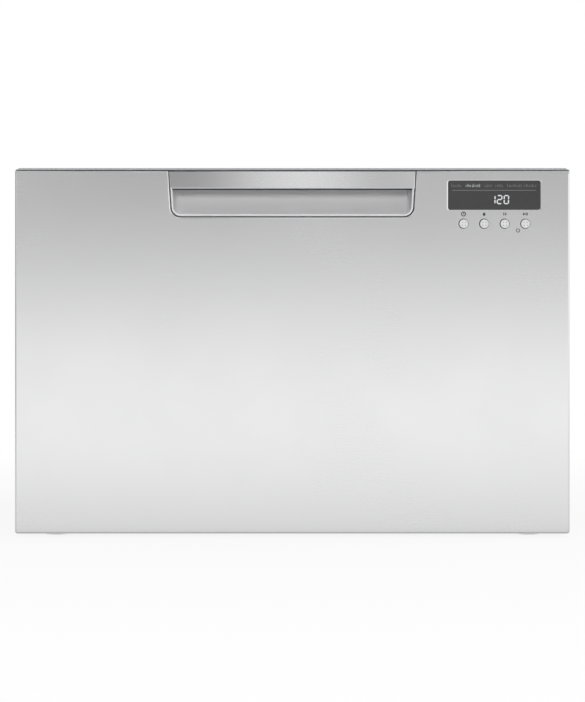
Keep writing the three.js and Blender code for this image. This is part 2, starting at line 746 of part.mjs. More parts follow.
function rearDrainHose() {
  const z0 = linkArmZ + armHeight + 2 + fit;
  const line = new THREE.CatmullRomCurve3([
    new THREE.Vector3(linkBase.x, linkBase.y, z0),
    new THREE.Vector3(linkBase.x, linkBase.y, serviceZ - 14),
    new THREE.Vector3(linkBase.x + 7, linkBase.y + 12, serviceZ - 2),
    new THREE.Vector3(drainX, linkBase.y + 30, serviceZ),
    new THREE.Vector3(drainX, backY - 16, serviceZ),
  ]);
  const section = new THREE.Shape().absarc(0, 0, 8, 0, Math.PI * 2);
  const hose = new THREE.ExtrudeGeometry(section, { steps: 7, extrudePath: line, curveSegments: 3 });
  const collar = rod("y", 13, [backY - 18, backY - 13], [drainX, serviceZ], 10);
  const spigot = rod("y", 9.5, [backY - 14, backY - 1], [drainX, serviceZ], 10);
  const barb = rod("y", 10.8, [backY - 6, backY - 1], [drainX, serviceZ], 10, 9.2);
  const bore = rod("y", 6.5, [backY - 12, backY + 1], [drainX, serviceZ], 8);
  const clipFoot = block([drainX - 5, drainX + 5], [backY - 30, backY - 22], [trayLift + trayWall + 4 + fit, serviceZ]);
  return cut(join(solidOf(hose), collar, spigot, barb, clipFoot), bore);
}

// ---------------------------------------------------------------- drawer front
function panelRing(halfX, halfZ, radius, y) {
  const middleZ = (skinBottom + skinTop) / 2;
  return roundedRing(halfX, halfZ, radius, 2).map(([u, v]) => new THREE.Vector3(u, y, v + middleZ));
}

// A pan with a rolled front edge; inset shrinks it all round and from the front.
function panSolid(inset, back) {
  const halfZ = skinHeight / 2;
  const edge = skinEdgeRadius - inset;
  const rings = [0, 30, 60, 90].map((degrees) => {
    const angle = THREE.MathUtils.degToRad(degrees);
    const inward = inset + edge * (1 - Math.sin(angle));
    const y = frontY + inset + edge * (1 - Math.cos(angle));
    return panelRing(panelHalf - inward, halfZ - inward, Math.max(skinCornerRadius - inward, 0.4), y);
  });
  rings.push(panelRing(panelHalf - inset, halfZ - inset, Math.max(skinCornerRadius - inset, 0.4), back));
  return loft(rings);
}

// Outline of the hand recess, shrunk by inset on its sides and floor, up to topZ.
function recessPoints(inset, topZ, { side = 0, rise = 0 } = {}) {
  const low = recessBottom + inset + rise;
  const radius = Math.max(recessCorner - inset, 2);
  const halfTop = recessTopWidth / 2 - inset - side;
  const halfLow = recessBottomWidth / 2 - inset - side;
  const points = [[halfTop, topZ], [-halfTop, topZ]];
  const steps = 5;
  for (const [centre, from] of [[-(halfLow - radius), 2], [halfLow - radius, 3]]) {
    for (let k = 0; k <= steps; k++) {
      const angle = ((from + k / steps) * Math.PI) / 2;
      points.push([centre + radius * Math.cos(angle), low + radius + radius * Math.sin(angle)]);
    }
  }
  return points;
}

const windowShape = (grow) =>
  roundedShape(windowWidth / 2 + grow, windowHeight / 2 + grow, windowCorner, windowCentreX, windowZ);
const buttonXs = spread(
  windowCentreX - (buttonPitch * (buttonCount - 1)) / 2,
  windowCentreX + (buttonPitch * (buttonCount - 1)) / 2,
  buttonCount,
);

function frontSkin() {
  const pan = cut(panSolid(0, frontY + panelDepth), panSolid(skinSheet, frontY + panelDepth + 1));
  const recess = frontPrism(polygon(recessPoints(0, skinTop + 5)), [frontY - 1, frontY + panelDepth + 1]);
  const sheetY = [frontY - 1, frontY + skinSheet + 1];
  const holes = buttonXs.map((x) => rod("y", buttonDiameter / 2 + running, sheetY, [x, buttonZ], 14));
  return cut(pan, recess, frontPrism(windowShape(0), sheetY, 3), holes);
}

const scoopFrontY = frontY + 0.4;
const scoopTop = skinTop - 0.2;

// Rings of the scoop from its mouth to its back wall; wall is how far inside the outer face they lie.
function scoopSolid(wall, topZ) {
  const depth = scoopDepth - wall;
  const rings = [0, 18, 36, 54, 72, 90].map((degrees) => {
    const angle = THREE.MathUtils.degToRad(degrees);
    const curl = 1 - Math.cos(angle);
    const y = scoopFrontY + depth * Math.sin(angle);
    const outline = recessPoints(recessGap + wall, topZ, { side: scoopSide * curl, rise: scoopRise * curl });
    return outline.map(([x, z]) => new THREE.Vector3(x, y, z));
  });
  if (wall > 0) rings.unshift(rings[0].map((p) => new THREE.Vector3(p.x, p.y - 1, p.z)));
  return loft(rings);
}

function handleScoop() {
  const shell = cut(scoopSolid(0, scoopTop), scoopSolid(scoopWall, scoopTop - scoopWall));
  const roomForBar = block(
    [-recessTopWidth / 2, recessTopWidth / 2],
    [frontY - 1, frontY + barReturn + fit],
    [barBottom - fit, skinTop + 1],
  );
  return cut(shell, roomForBar);
}

function handleBar() {
  const y0 = frontY + 0.2;
  const t = barThickness;
  const [z0, z1] = [barBottom, skinTop - 0.3];
  const profile = polygon([
    [y0 + 0.8, z0],
    [y0 + barReturn - 0.6, z0],
    [y0 + barReturn - 0.2, z0 + 0.5],
    [y0 + barReturn - 0.2, z0 + t + 2],
    [y0 + barReturn - 1.4, z0 + t + 2],
    [y0 + barReturn - 1.4, z0 + t],
    [y0 + t, z0 + t],
    [y0 + t, z1 - t],
    [y0 + barReturn - 0.2, z1 - t],
    [y0 + barReturn - 0.2, z1],
    [y0 + 0.8, z1],
    [y0, z1 - 0.8],
    [y0, z0 + 0.8],
  ]);
  const half = recessTopWidth / 2;
  const ends = frontPrism(polygon(recessPoints(recessGap, skinTop + 5)), [frontY - 1, frontY + 20]);
  return sidePrism(profile, [-half, half]).intersect(ends);
}

const windowBackY = frontY + 0.5 + windowThickness;
const carrierFrontY = frontY + skinSheet + fit;
const carrierPlateY = [frontY + 4.3, frontY + 6.5];
const boardY = [frontY + 10.5, frontY + 12.1];
const carrierHalfX = windowWidth / 2 + 8;
const carrierZ = [buttonZ - buttonDiameter / 2 - 5, windowZ + windowHeight / 2 + 5];

function displayWindow() {
  return frontPrism(windowShape(-fit), [frontY + 0.5, windowBackY], 3);
}

// Moulded holder behind the skin: a tray with an aperture, and legs that carry the circuit board.
function displayCarrier() {
  const t = 2;
  const x = [windowCentreX - carrierHalfX, windowCentreX + carrierHalfX];
  const outer = block(x, [carrierFrontY, carrierPlateY[1]], carrierZ);
  const inner = block(
    [x[0] + t, x[1] - t],
    [carrierFrontY - 1, carrierPlateY[0]],
    [carrierZ[0] + t, carrierZ[1] - t],
  );
  const aperture = frontPrism(
    roundedShape(windowWidth / 2 - 4, windowHeight / 2 - 4, 2, windowCentreX, windowZ),
    [carrierPlateY[0] - 1, carrierPlateY[1] + 1],
    2,
  );
  const guides = buttonXs.map((x) => rod("y", 3.6, [carrierPlateY[0] - 1, carrierPlateY[1] + 1], [x, buttonZ], 8));
  const legs = [];
  for (const legX of [x[0] + 3, x[1] - 3]) {
    for (const legZ of [carrierZ[0] + 3, carrierZ[1] - 3]) {
      legs.push(block([legX - 2.5, legX + 2.5], [carrierPlateY[0], frameFrontY - fit], [legZ - 2.5, legZ + 2.5]));
    }
  }
  return cut(join(cut(outer, inner), legs), aperture, guides);
}

function displayBoard() {
  const margin = 7;
  const x = [windowCentreX - carrierHalfX + margin, windowCentreX + carrierHalfX - margin];
  const board = block(x, boardY, [carrierZ[0] + 1, carrierZ[1] - 1]);
  const digits = block(
    [windowCentreX - windowWidth / 2 + 8, windowCentreX + windowWidth / 2 - 8],
    [carrierPlateY[1] + fit, boardY[0] + 0.2],
    [windowZ - windowHeight / 2 + 5, windowZ + windowHeight / 2 - 5],
  );
  const switches = buttonXs.map((x0) =>
    join(
      block([x0 - 3, x0 + 3], [boardY[0] - 2, boardY[0] + 0.2], [buttonZ - 3, buttonZ + 3]),
      rod("y", 1.7, [boardY[0] - 2.8, boardY[0] - 1.8], [x0, buttonZ], 6),
    ),
  );
  const plug = block([x[0] + 6, x[0] + 26], [boardY[1] - 0.2, boardY[1] + 5], [windowZ - 5, windowZ + 5]);
  return join(board, digits, switches, plug);
}

// One push button about its own centre: a dished cap, a collar behind the skin and a stem to the switch.
function pushButton() {
  const r = buttonDiameter / 2;
  const capFront = buttonSunk - skinSheet - fit;
  const stemEnd = boardY[0] - 2.8 - fit - buttonTravel - carrierFrontY;
  const profile = [
    [0, capFront + 0.3],
    [r - 0.7, capFront],
    [r, capFront + 0.6],
    [r, 0.3],
    [r + 1.2, 0.3],
    [3, 1.6],
    [3, stemEnd],
    [0, stemEnd],
  ];
  return moved(
    turned(profile.reverse().map(([radius, depth]) => [radius, -depth]), 12),
    new THREE.Matrix4().makeRotationX(Math.PI / 2),
  );
}

const dispenser = { x: [-78, 72], z: [tubLevel(0.5), tubLevel(0.5) + 76], flange: 6 };
const fanAt = { x: 196, z: tubLevel(0.32), radius: 40, spout: 18 };

// Plastic frame behind the skin: a back plate with the strip over the front, and a tray that holds the electronics.
function doorFrame() {
  const plateX = panelHalf - 1.5;
  const plate = block([-plateX, plateX], [frameFrontY, frameBackY], [skinBottom + 1, skinTop + trimGap + 0.2]);
  const trimZ = [skinTop + trimGap, trimTop];
  const trim = frontPrism(
    polygon([
      [-panelHalf, trimZ[0]],
      [panelHalf, trimZ[0]],
      [panelHalf - trimBevel, trimZ[1]],
      [-panelHalf + trimBevel, trimZ[1]],
    ]),
    [frontY + 0.6, frameBackY],
  );
  const t = frameSheet;
  const box = block(
    [-frameBoxHalf, frameBoxHalf],
    [frameBackY - 0.5, frameBoxBackY],
    [frameBoxBottom, frameBoxTop],
  );
  const cavity = block(
    [-frameBoxHalf + t, frameBoxHalf - t],
    [frameFrontY - 1, frameBoxBackY - t],
    [frameBoxBottom + t, frameBoxTop - t],
  );
  const scoopHole = frontPrism(polygon(recessPoints(-0.6, skinTop + trimGap - 0.5)), [
    frameFrontY - 1,
    frameBackY + 1,
  ]);
  const backWall = [frameBoxBackY - t - 1, frameBoxBackY + 1];
  const dispenserHole = block([dispenser.x[0] - 1, dispenser.x[1] + 1], backWall, [
    dispenser.z[0] - 1,
    dispenser.z[1] + 1,
  ]);
  const fanHole = rod("y", fanAt.spout + 1, backWall, [fanAt.x, fanAt.z], 12);
  const ribs = spread(-frameBoxHalf, frameBoxHalf, 7)
    .slice(1, -1)
    .map((x) => block([x - 1, x + 1], [frameBackY, frameBoxBackY - 1], [frameBoxBottom + 1, frameBoxBottom + 14]));
  return cut(join(cut(join(plate, trim, box), cavity), ribs), scoopHole, dispenserHole, fanHole);
}

// Splash-proof box with the control electronics: a body, an overhanging lid, two lugs and a row of sockets.
function controllerBox() {
  const { length, height, centreX, drop, lidLip } = controller;
  const y = [frameFrontY + 1, frameBoxBackY - frameSheet - 3];
  const z = [frameBoxBottom + drop, frameBoxBottom + drop + height];
  const x = [centreX - length / 2, centreX + length / 2];
  const box = block(x, y, z);
  const lid = block([x[0] - lidLip, x[1] + lidLip], [y[0] - 0.2, y[0] + 3], [z[0] - 1, z[1] + 3]);
  const lugs = [x[0] + 10, x[1] - 10].map((at) =>
    block([at - 8, at + 8], [y[1] - 4, frameBoxBackY - frameSheet - fit], [z[0] + 20, z[0] + 40]),
  );
  const sockets = spread(x[0] + 25, x[1] - 30, 5).map((at) =>
    block([at - 9, at + 9], [y[0] + 6, y[0] + 16], [z[1] - 1, z[1] + 7]),
  );
  return join(box, lid, lugs, sockets);
}

// ---------------------------------------------------------------- tub
// The tub's outline at a height, drawn in by inset; it tapers towards the floor.
function tubRing(z, inset, corner = tubCorner) {
  const shrink = (rimZ - z) * tubDraft + inset;
  const radius = Math.max(corner - inset, 4);
  return roundedRing(tubHalf - shrink, tubLength / 2 - shrink, radius, 3).map(
    ([x, y]) => new THREE.Vector3(x, y + tubMidY, z),
  );
}

// The body of the tub between its floor and its rim, drawn in by inset all over.
function tubBody(inset, top) {
  const low = tubFloorHeight + inset;
  const radius = tubFloorRadius - inset;
  const rings = [0, 30, 60, 90].map((degrees) => {
    const angle = THREE.MathUtils.degToRad(degrees);
    const inward = radius * (1 - Math.sin(angle));
    return tubRing(low + radius * (1 - Math.cos(angle)), inset + inward);
  });
  rings.push(tubRing(rimZ - 0.01, inset));
  if (top > rimZ) rings.push(tubRing(rimZ, inset).map((p) => p.setZ(top)));
  return loft(rings);
}

const sumpFloor = tubFloorHeight - sumpDepth;
const pumpMouth = 33;

function tub() {
  const rim = loft([tubRing(rimZ - rimThickness, -rimFlange), tubRing(rimZ, -rimFlange)]);
  const ledgeY = [tubFrontY + 12, tubBackY - 12];
  const ledgeHalf = runnerMember.inner.half - 1;
  const ledges = [-1, 1].flatMap((side) => {
    const x = side > 0 ? [tubHalf - 14, runnerX - fit] : [-runnerX + fit, -tubHalf + 14];
    const bar = block(x, ledgeY, [runnerZ - ledgeHalf, runnerZ + ledgeHalf]);
    const pocketX = side > 0 ? [tubHalf - 1, runnerX - 3] : [-runnerX + 3, -tubHalf + 1];
    const pockets = [0, 1, 2, 3].map((k) => {
      const length = (ledgeY[1] - ledgeY[0]) / 4;
      const y = [ledgeY[0] + k * length + 4, ledgeY[0] + (k + 1) * length - 4];
      return block(pocketX, y, [runnerZ - ledgeHalf + 3, runnerZ + ledgeHalf + 1]);
    });
    return [cut(bar, pockets)];
  });
  const bosses = [-1, 1].flatMap((side) =>
    [tubLevel(0.25), tubLevel(0.88)].map((z) =>
      rod("y", 9, [frameBoxBackY + fit, tubFrontY + 12], [side * (frameBoxHalf - 40), z], 8),
    ),
  );
  const ribZ = [tubFloorHeight - 5, tubFloorHeight + 1];
  const ribReach = tubHalf - tubFloorRadius - 14;
  const ribs = [-70, 70].map((y) => block([-ribReach, ribReach], [tubMidY + y - 1.5, tubMidY + y + 1.5], ribZ));
  const sump = rod("z", sumpRadius, [sumpFloor, tubFloorHeight + 1], [0, tubMidY], 20);
  const shell = join(tubBody(0, rimZ), rim, ledges, bosses, ribs, sump);
  const sumpInside = rod("z", sumpRadius - tubWall, [sumpFloor + tubWall, tubFloorHeight + 5], [0, tubMidY], 20);
  const mouth = rod("z", pumpMouth, [sumpFloor - 1, sumpFloor + tubWall + 1], [0, tubMidY], 12);
  const frontWall = [tubFrontY - 3, tubFrontY + 16];
  const dispenserHole = block(dispenser.x, frontWall, dispenser.z);
  const fanHole = rod("y", fanAt.spout + fit, frontWall, [fanAt.x, fanAt.z], 12);
  return cut(shell, tubBody(tubWall, rimZ + 2), sumpInside, mouth, dispenserHole, fanHole);
}

// Where the tub's front wall stands inside, at a height.
const innerFrontY = (z) => tubFrontY + (rimZ - z) * tubDraft + tubWall;

// ---------------------------------------------------------------- wash system
const pumpAt = [0, tubMidY];
const pumpTop = sumpFloor - fit;
const pumpBottom = trayLift + trayWall + 8;
const chamberRadius = 32;
const chamberFloor = pumpBottom + 5;
const rotorPinTop = pumpTop - 6;
const coilCount = 4;
const vaneCount = 5;

function pumpHousing() {
  const outer = turned(
    [
      [0, pumpBottom],
      [40, pumpBottom],
      [46, pumpBottom + 5],
      [46, pumpTop - 3],
      [58, pumpTop - 3],
      [58, pumpTop],
      [0, pumpTop],
    ],
    14,
  );
  const outlet = rod("x", 9, [-64, -30], [14, (pumpBottom + pumpTop) / 2], 10);
  const coils = Array.from({ length: coilCount }, (_, k) => {
    const coil = block([40, 52], [-9, 9], [pumpBottom + 3, pumpTop - 6]);
    return moved(coil, new THREE.Matrix4().makeRotationZ(((k + 0.5) / coilCount) * Math.PI * 2));
  });
  const chamber = rod("z", chamberRadius, [chamberFloor, pumpTop + 1], [0, 0], 14);
  const outletBore = rod("x", 6.5, [-65, -20], [14, (pumpBottom + pumpTop) / 2], 8);
  const pin = rod("z", 2.5, [chamberFloor - 1, rotorPinTop], [0, 0], 8);
  return join(cut(join(outer, outlet, coils), chamber, outletBore), pin);
}

function pumpRotor() {
  const base = chamberFloor + running;
  const radius = chamberRadius - 2;
  const body = turned(
    [
      [2.5 + running, base],
      [radius, base],
      [radius, base + 9],
      [8, base + 11],
      [7, rotorPinTop - 1],
      [2.5 + running, rotorPinTop - 1],
      [2.5 + running, base],
    ],
    10,
  );
  const vanes = Array.from({ length: vaneCount }, (_, k) => {
    const vane = block([5, radius - 4], [-1, 1], [base + 9, pumpTop - 3]);
    return moved(vane, new THREE.Matrix4().makeRotationZ((k / vaneCount) * Math.PI * 2));
  });
  return join(body, vanes);
}

const filterZ = tubInnerFloor - 0.5;
const filterRadius = sumpRadius - tubWall - 1;
const sprayPost = 6;
const sprayHubBottom = filterZ + 8;
const sprayHubHeight = 14;
const drainFilterAt = 56;
const drainFilterRadius = 24;
const filterSlotCount = 12;

function filterPlate() {
  const plate = turned(
    [
      [0, filterZ - 2],
      [filterRadius - 6, filterZ - 2],
      [filterRadius, filterZ + 2.4],
      [filterRadius - 6, filterZ],
      [sprayPost + 8, filterZ + 3],
      [sprayPost + 6, filterZ + 7.4],
      [sprayPost, filterZ + 7.4],
      [sprayPost, sprayHubBottom + sprayHubHeight + 1],
      [0, sprayHubBottom + sprayHubHeight + 1],
    ],
    16,
  );
  const legs = [-1, 1].map((side) => rod("z", 4, [sumpFloor + tubWall + fit, filterZ], [side * 72, 0], 8));
  const opening = rod("z", drainFilterRadius + running, [filterZ - 4, filterZ + 5], [0, drainFilterAt], 14);
  const slots = [];
  for (let k = 0; k < filterSlotCount; k++) {
    const angle = ((k + 0.5) / filterSlotCount) * Math.PI * 2;
    if (Math.sin(angle) > 0.72) continue; // the round filter stands here
    const shape = slotShape([34, 0], [filterRadius - 14, 0], 3);
    slots.push(moved(planPrism(shape, [filterZ - 3, filterZ + 4], 1), new THREE.Matrix4().makeRotationZ(angle)));
  }
  return cut(join(plate, legs), opening, slots);
}

function drainFilter() {
  const bottom = sumpFloor + tubWall + 1;
  const cup = turned(
    [
      [0, bottom],
      [drainFilterRadius - 4, bottom],
      [drainFilterRadius - 2, filterZ - 3],
      [drainFilterRadius - 0.5, filterZ + 1],
      [drainFilterRadius - 0.5, filterZ + 4],
      [drainFilterRadius - 4, filterZ + 4],
      [drainFilterRadius - 5, filterZ],
      [0, filterZ - 1],
    ],
    14,
  );
  const grip = block([-drainFilterRadius + 7, drainFilterRadius - 7], [-2, 2], [filterZ - 2, filterZ + 7]);
  return join(cup, grip);
}

// The spray arm about its own hub: two tapered hollow-looking wings with jets along the top.
function sprayArm() {
  const stations = spread(-sprayRadius, sprayRadius, 9);
  const height = 10;
  const rings = stations.map((x) => {
    const share = Math.abs(x) / sprayRadius;
    const halfWidth = 18 - 7 * share - (share > 0.95 ? 4 : 0);
    const halfHeight = (height / 2) * (share > 0.95 ? 0.6 : 1 - 0.2 * share);
    const sweep = 6 * Math.sin((x / sprayRadius) * Math.PI * 0.5);
    return Array.from({ length: 6 }, (_, k) => {
      const angle = (k / 6) * Math.PI * 2;
      return new THREE.Vector3(x, sweep + halfWidth * Math.cos(angle), halfHeight * Math.sin(angle));
    });
  });
  const hub = rod("z", 17, [-height / 2 - 2, sprayHubHeight - height / 2 - 2], [0, 0], 14);
  const jets = [0.4, 0.62, 0.84].flatMap((share) =>
    [-1, 1].map((side) => {
      const x = side * share * sprayRadius;
      const y = 6 * Math.sin((x / sprayRadius) * Math.PI * 0.5);
      return rod("z", 3.8, [0, height / 2 + 1.5], [x, y], 6, 2.8);
    }),
  );
  const bore = rod("z", sprayPost + running, [-height, sprayHubHeight], [0, 0], 10);
  return cut(join(loft(rings), hub, jets), bore);
}

// ---------------------------------------------------------------- dispenser and drying fan in the front wall
const dispenserFaceY = innerFrontY(dispenser.z[0]) + 9;
const cup = { x: [dispenser.x[0] + 10, dispenser.x[0] + 84], z: [dispenser.z[0] + 10, dispenser.z[1] - 10] };
const hingeRadius = 2.4;
const cupHinge = { y: dispenserFaceY + hingeRadius + running, z: cup.z[0] - 3 };
const rinseAt = { x: dispenser.x[1] - 28, z: (dispenser.z[0] + dispenser.z[1]) / 2, radius: 19 };

function dispenserBody() {
  const { x, z, flange } = dispenser;
  const backFaceY = frameBoxBackY - 12;
  const body = block([x[0] + fit, x[1] - fit], [backFaceY, dispenserFaceY], [z[0] + fit, z[1] - fit]);
  const wallY = innerFrontY(z[0] - flange) + fit;
  const plate = frontPrism(
    roundedShape(
      (x[1] - x[0]) / 2 + flange,
      (z[1] - z[0]) / 2 + flange,
      8,
      (x[0] + x[1]) / 2,
      (z[0] + z[1]) / 2,
    ),
    [wallY, dispenserFaceY],
    2,
  );
  const pocket = frontPrism(
    roundedShape(
      (cup.x[1] - cup.x[0]) / 2,
      (cup.z[1] - cup.z[0]) / 2,
      7,
      (cup.x[0] + cup.x[1]) / 2,
      (cup.z[0] + cup.z[1]) / 2,
    ),
    [dispenserFaceY - 26, dispenserFaceY + 1],
    2,
  );
  const seat = rod("y", rinseAt.radius + 1, [dispenserFaceY - 3, dispenserFaceY + 1], [rinseAt.x, rinseAt.z], 14);
  const knuckles = [cup.x[0] + 4, cup.x[1] - 12].map((x0) => {
    const ear = block([x0, x0 + 8], [dispenserFaceY - 1, cupHinge.y], [cupHinge.z - 3, cupHinge.z + 3]);
    return join(ear, rod("x", 3, [x0, x0 + 8], [cupHinge.y, cupHinge.z], 8));
  });
  const pinHole = rod("x", 1.4, [cup.x[0] + 3, cup.x[1] - 3], [cupHinge.y, cupHinge.z], 8);
  return cut(join(cut(join(body, plate), pocket, seat), knuckles), pinHole);
}

function dispenserDoor() {
  const y = [dispenserFaceY + running, dispenserFaceY + running + 2.4];
  const x = [cup.x[0] - 3, cup.x[1] + 3];
  const z = [cupHinge.z + 4, cup.z[1] + 4];
  const leaf = frontPrism(
    roundedShape((x[1] - x[0]) / 2, (z[1] - z[0]) / 2, 6, (x[0] + x[1]) / 2, (z[0] + z[1]) / 2),
    y,
    2,
  );
  const thumb = block([(x[0] + x[1]) / 2 - 9, (x[0] + x[1]) / 2 + 9], [y[1] - 0.2, y[1] + 3], [z[1] - 9, z[1] - 5]);
  const middle = [cup.x[0] + 13, cup.x[1] - 13];
  const tongue = block(middle, [y[0], y[1]], [cupHinge.z, z[0] + 5]);
  const barrel = rod("x", hingeRadius, middle, [cupHinge.y, cupHinge.z], 10);
  const pin = rod("x", 1, [cup.x[0] + 5, cup.x[1] - 5], [cupHinge.y, cupHinge.z], 8);
  return join(leaf, thumb, tongue, barrel, pin);
}

// Rinse-aid cap about its own centre, axis along y.
function rinseCap() {
  const r = rinseAt.radius;
  const disc = rod("y", r, [-2.6, 2.2], [0, 0], 16);
  const grip = block([-r + 4, r - 4], [2, 6.5], [-2.2, 2.2]);
  const arrow = block([r - 6, r - 2], [2, 3.4], [-1.2, 1.2]);
  return join(disc, grip, arrow);
}

const fanY = [frameFrontY + 2, frameBoxBackY - frameSheet - fit];
const fanBladeCount = 6;

function fanHousing() {
  const { x, z, radius, spout } = fanAt;
  const scroll = rod("y", radius, fanY, [x, z], 14);
  const outletEndY = innerFrontY(z) + 3;
  const pipe = rod("y", spout, [fanY[1] - 1, outletEndY], [x, z], 12);
  const chamber = rod("y", radius - 3, [fanY[0] - 1, fanY[1] - 3], [x, z], 14);
  const bore = rod("y", spout - 2, [fanY[0], outletEndY + 1], [x, z], 12);
  const bars = [-8, 0, 8].map((dz) =>
    block([x - spout + 1, x + spout - 1], [outletEndY - 2, outletEndY], [z + dz - 1.2, z + dz + 1.2]),
  );
  const spider = block([x - spout + 1, x + spout - 1], [fanY[1] - 3, fanY[1] - 1], [z - 3, z + 3]);
  const axle = rod("y", 2, [fanY[0] + 6, fanY[1] - 2], [x, z], 8);
  return join(cut(join(scroll, pipe), chamber, bore), bars, spider, axle);
}

// Centrifugal rotor about its own centre, axis along y.
function fanRotor() {
  const y = [3, fanY[1] - 4 - fanY[0]];
  const outer = fanAt.radius - 6;
  const disc = rod("y", outer, [y[0], y[0] + 2], [0, 0], 14);
  const hub = rod("y", 6, [y[0], y[1] - 2], [0, 0], 8);
  const blades = Array.from({ length: fanBladeCount }, (_, k) => {
    const blade = block([outer - 9, outer - 1], [y[0] + 1, y[1]], [-0.8, 0.8]);
    return moved(blade, new THREE.Matrix4().makeRotationY((k / fanBladeCount) * Math.PI * 2));
  });
  const bore = rod("y", 2 + running, [y[0] + 2.6, y[1]], [0, 0], 8);
  return cut(join(disc, hub, blades), bore);
}

// ---------------------------------------------------------------- racks
const rackInnerX = rackGap / 2;
const rackOuterX = tubHalf - tubWall - (rimZ - rackBase) * tubDraft - rackMargin;
const rackHalfY = tubLength / 2 - tubWall - (rimZ - rackBase) * tubDraft - 23;
const rackFrontY = tubMidY - rackHalfY;
const rackBackY = tubMidY + rackHalfY;
const crossZ = rackBase + rackWire;
const alongZ = crossZ + rackWire * 1.25; // sunk a little into the cross wires, as welded
const rackRimZ = rackBase + rackRimRise;
const shelfHingeZ = rimZ - shelfReach - 14;
const crossYs = spread(rackFrontY + 30, rackBackY - 30, 5);
const alongXs = spread(rackInnerX + 40, rackOuterX - 40, 3);
const tineAxleZ = rackBase + 11;
const tineAxleBore = tineAxle + running;
const bend = 9;

// A rack on the right-hand side of the tub: a welded basket with an upright for the cup shelf.
function rackBasket() {
  const crossWires = crossYs.map((y) =>
    wire(
      [
        [rackInnerX, y, rackRimZ],
        [rackInnerX, y, crossZ + bend],
        [rackInnerX + bend, y, crossZ],
        [rackOuterX - bend, y, crossZ],
        [rackOuterX, y, crossZ + bend],
        [rackOuterX, y, shelfHingeZ],
      ],
      rackWire,
      [0, 1, 0],
    ),
  );
  const alongWires = alongXs.map((x) =>
    wire(
      [
        [x, rackFrontY, rackRimZ],
        [x, rackFrontY, alongZ + bend],
        [x, rackFrontY + bend, alongZ],
        [x, rackBackY - bend, alongZ],
        [x, rackBackY, alongZ + bend],
        [x, rackBackY, rackRimZ],
      ],
      rackWire,
      [1, 0, 0],
    ),
  );
  const rimMidX = (rackInnerX + rackOuterX) / 2;
  const rimPoints = roundedRing((rackOuterX - rackInnerX) / 2, rackHalfY, 14, 1).map(([x, y]) => [
    x + rimMidX,
    y + tubMidY,
    rackRimZ,
  ]);
  const rim = wire(rimPoints, rackRimWire, [0, 0, 1], { closed: true });
  const shelfAxle = rod("y", rackRimWire, [crossYs[0] - 12, crossYs[4] + 12], [rackOuterX, shelfHingeZ], 6);
  const feet = [rackInnerX + 22, rackOuterX - 22].flatMap((x) =>
    [rackFrontY + 3, rackBackY - 3].map((y) => {
      const edgeY = y < tubMidY ? rackFrontY : rackBackY;
      return wire(
        [
          [x, edgeY, rackRimZ],
          [x, edgeY, rackBase],
          [x, y, tubInnerFloor + 0.5],
        ],
        rackWire,
        [1, 0, 0],
      );
    }),
  );
  return join(crossWires, alongWires, rim, shelfAxle, feet);
}

// Snap-in bearings for a folding tine row, standing on the cross wires.
function tineClips(x) {
  return [crossYs[0], crossYs[2], crossYs[4]].map((y) => {
    const post = block([x - 4.2, x + 4.2], [y - 3, y + 3], [crossZ, tineAxleZ + 4.2]);
    return cut(post, rod("y", tineAxleBore, [y - 4, y + 4], [x, tineAxleZ], 6));
  });
}

const foldingTineXs = [-(rackOuterX - 72), -(rackInnerX + 88)];
const fixedTineX = rackOuterX - 92;

// An even count keeps the tines clear of the clip in the middle.
function tineYs() {
  const pitch = (crossYs[4] - crossYs[0]) / tineCount;
  return Array.from({ length: tineCount }, (_, k) => crossYs[0] + (k + 0.5) * pitch);
}

// A folding row about its own axle.
function tineRow() {
  const axle = rod("y", tineAxle, [crossYs[0] - 8, crossYs[4] + 8], [0, 0], 6);
  const tines = tineYs().map((y) => rod("z", tineWire, [-0.5, tineLength], [0, y], 4, tineWire * 0.8));
  return join(axle, tines);
}

function rackLeft() {
  return join(mirrored(rackBasket()), ...foldingTineXs.flatMap(tineClips));
}

function rackRight() {
  const tines = tineYs().map((y) =>
    rod("z", tineWire, [tineAxleZ - 0.5, tineAxleZ + tineLength * 0.7], [fixedTineX, y], 4, tineWire * 0.8),
  );
  const rail = rod("y", tineAxle, [crossYs[0] - 8, crossYs[4] + 8], [fixedTineX, tineAxleZ], 6);
  const posts = [crossYs[0], crossYs[4]].map((y) =>
    rod("z", tineWire, [crossZ, tineAxleZ], [fixedTineX, y], 4),
  );
  return join(rackBasket(), rail, tines, posts);
}

// Cup shelf for the right-hand side, hinged on the rack's upper wire; x = 0, z = 0 is the hinge line.
function cupShelf() {
  const [y0, y1] = [tubMidY - shelfLength / 2, tubMidY + shelfLength / 2];
  const lugYs = [0.5, 3.5].map((k) => crossYs[0] + ((crossYs[4] - crossYs[0]) * k) / 4);
  const lugs = lugYs.map((y) => block([-13, rackRimWire + 2.6], [y - 7, y + 7], [-rackRimWire - 2.6, rackRimWire + 2.6]));
  const bores = lugYs.map((y) => rod("y", rackRimWire + running, [y - 8, y + 8], [0, 0], 6));
  const loop = [
    [-11, y0],
    [-shelfReach + 14, y0],
    [-shelfReach, y0 + 14],
    [-shelfReach, y1 - 14],
    [-shelfReach + 14, y1],
    [-11, y1],
  ].map(([x, y]) => [x, y, 0]);
  const frame = wire(loop, rackRimWire, [0, 0, 1], { closed: true });
  const slats = spread(y0, y1, 5)
    .slice(1, -1)
    .map((y) =>
      wire(
        [
          [-11, y, 0],
          [-22, y, -4],
          [-shelfReach + 12, y, -4],
          [-shelfReach, y, 0],
        ],
        rackWire,
        [0, 1, 0],
      ),
    );
  return cut(join(frame, slats, lugs), bores);
}

const basketHalf = { x: 34, y: 108 };
const basketHeight = 108;
const basketAt = [rackInnerX + 18 + basketHalf.x, tubMidY, alongZ + rackWire + fit];

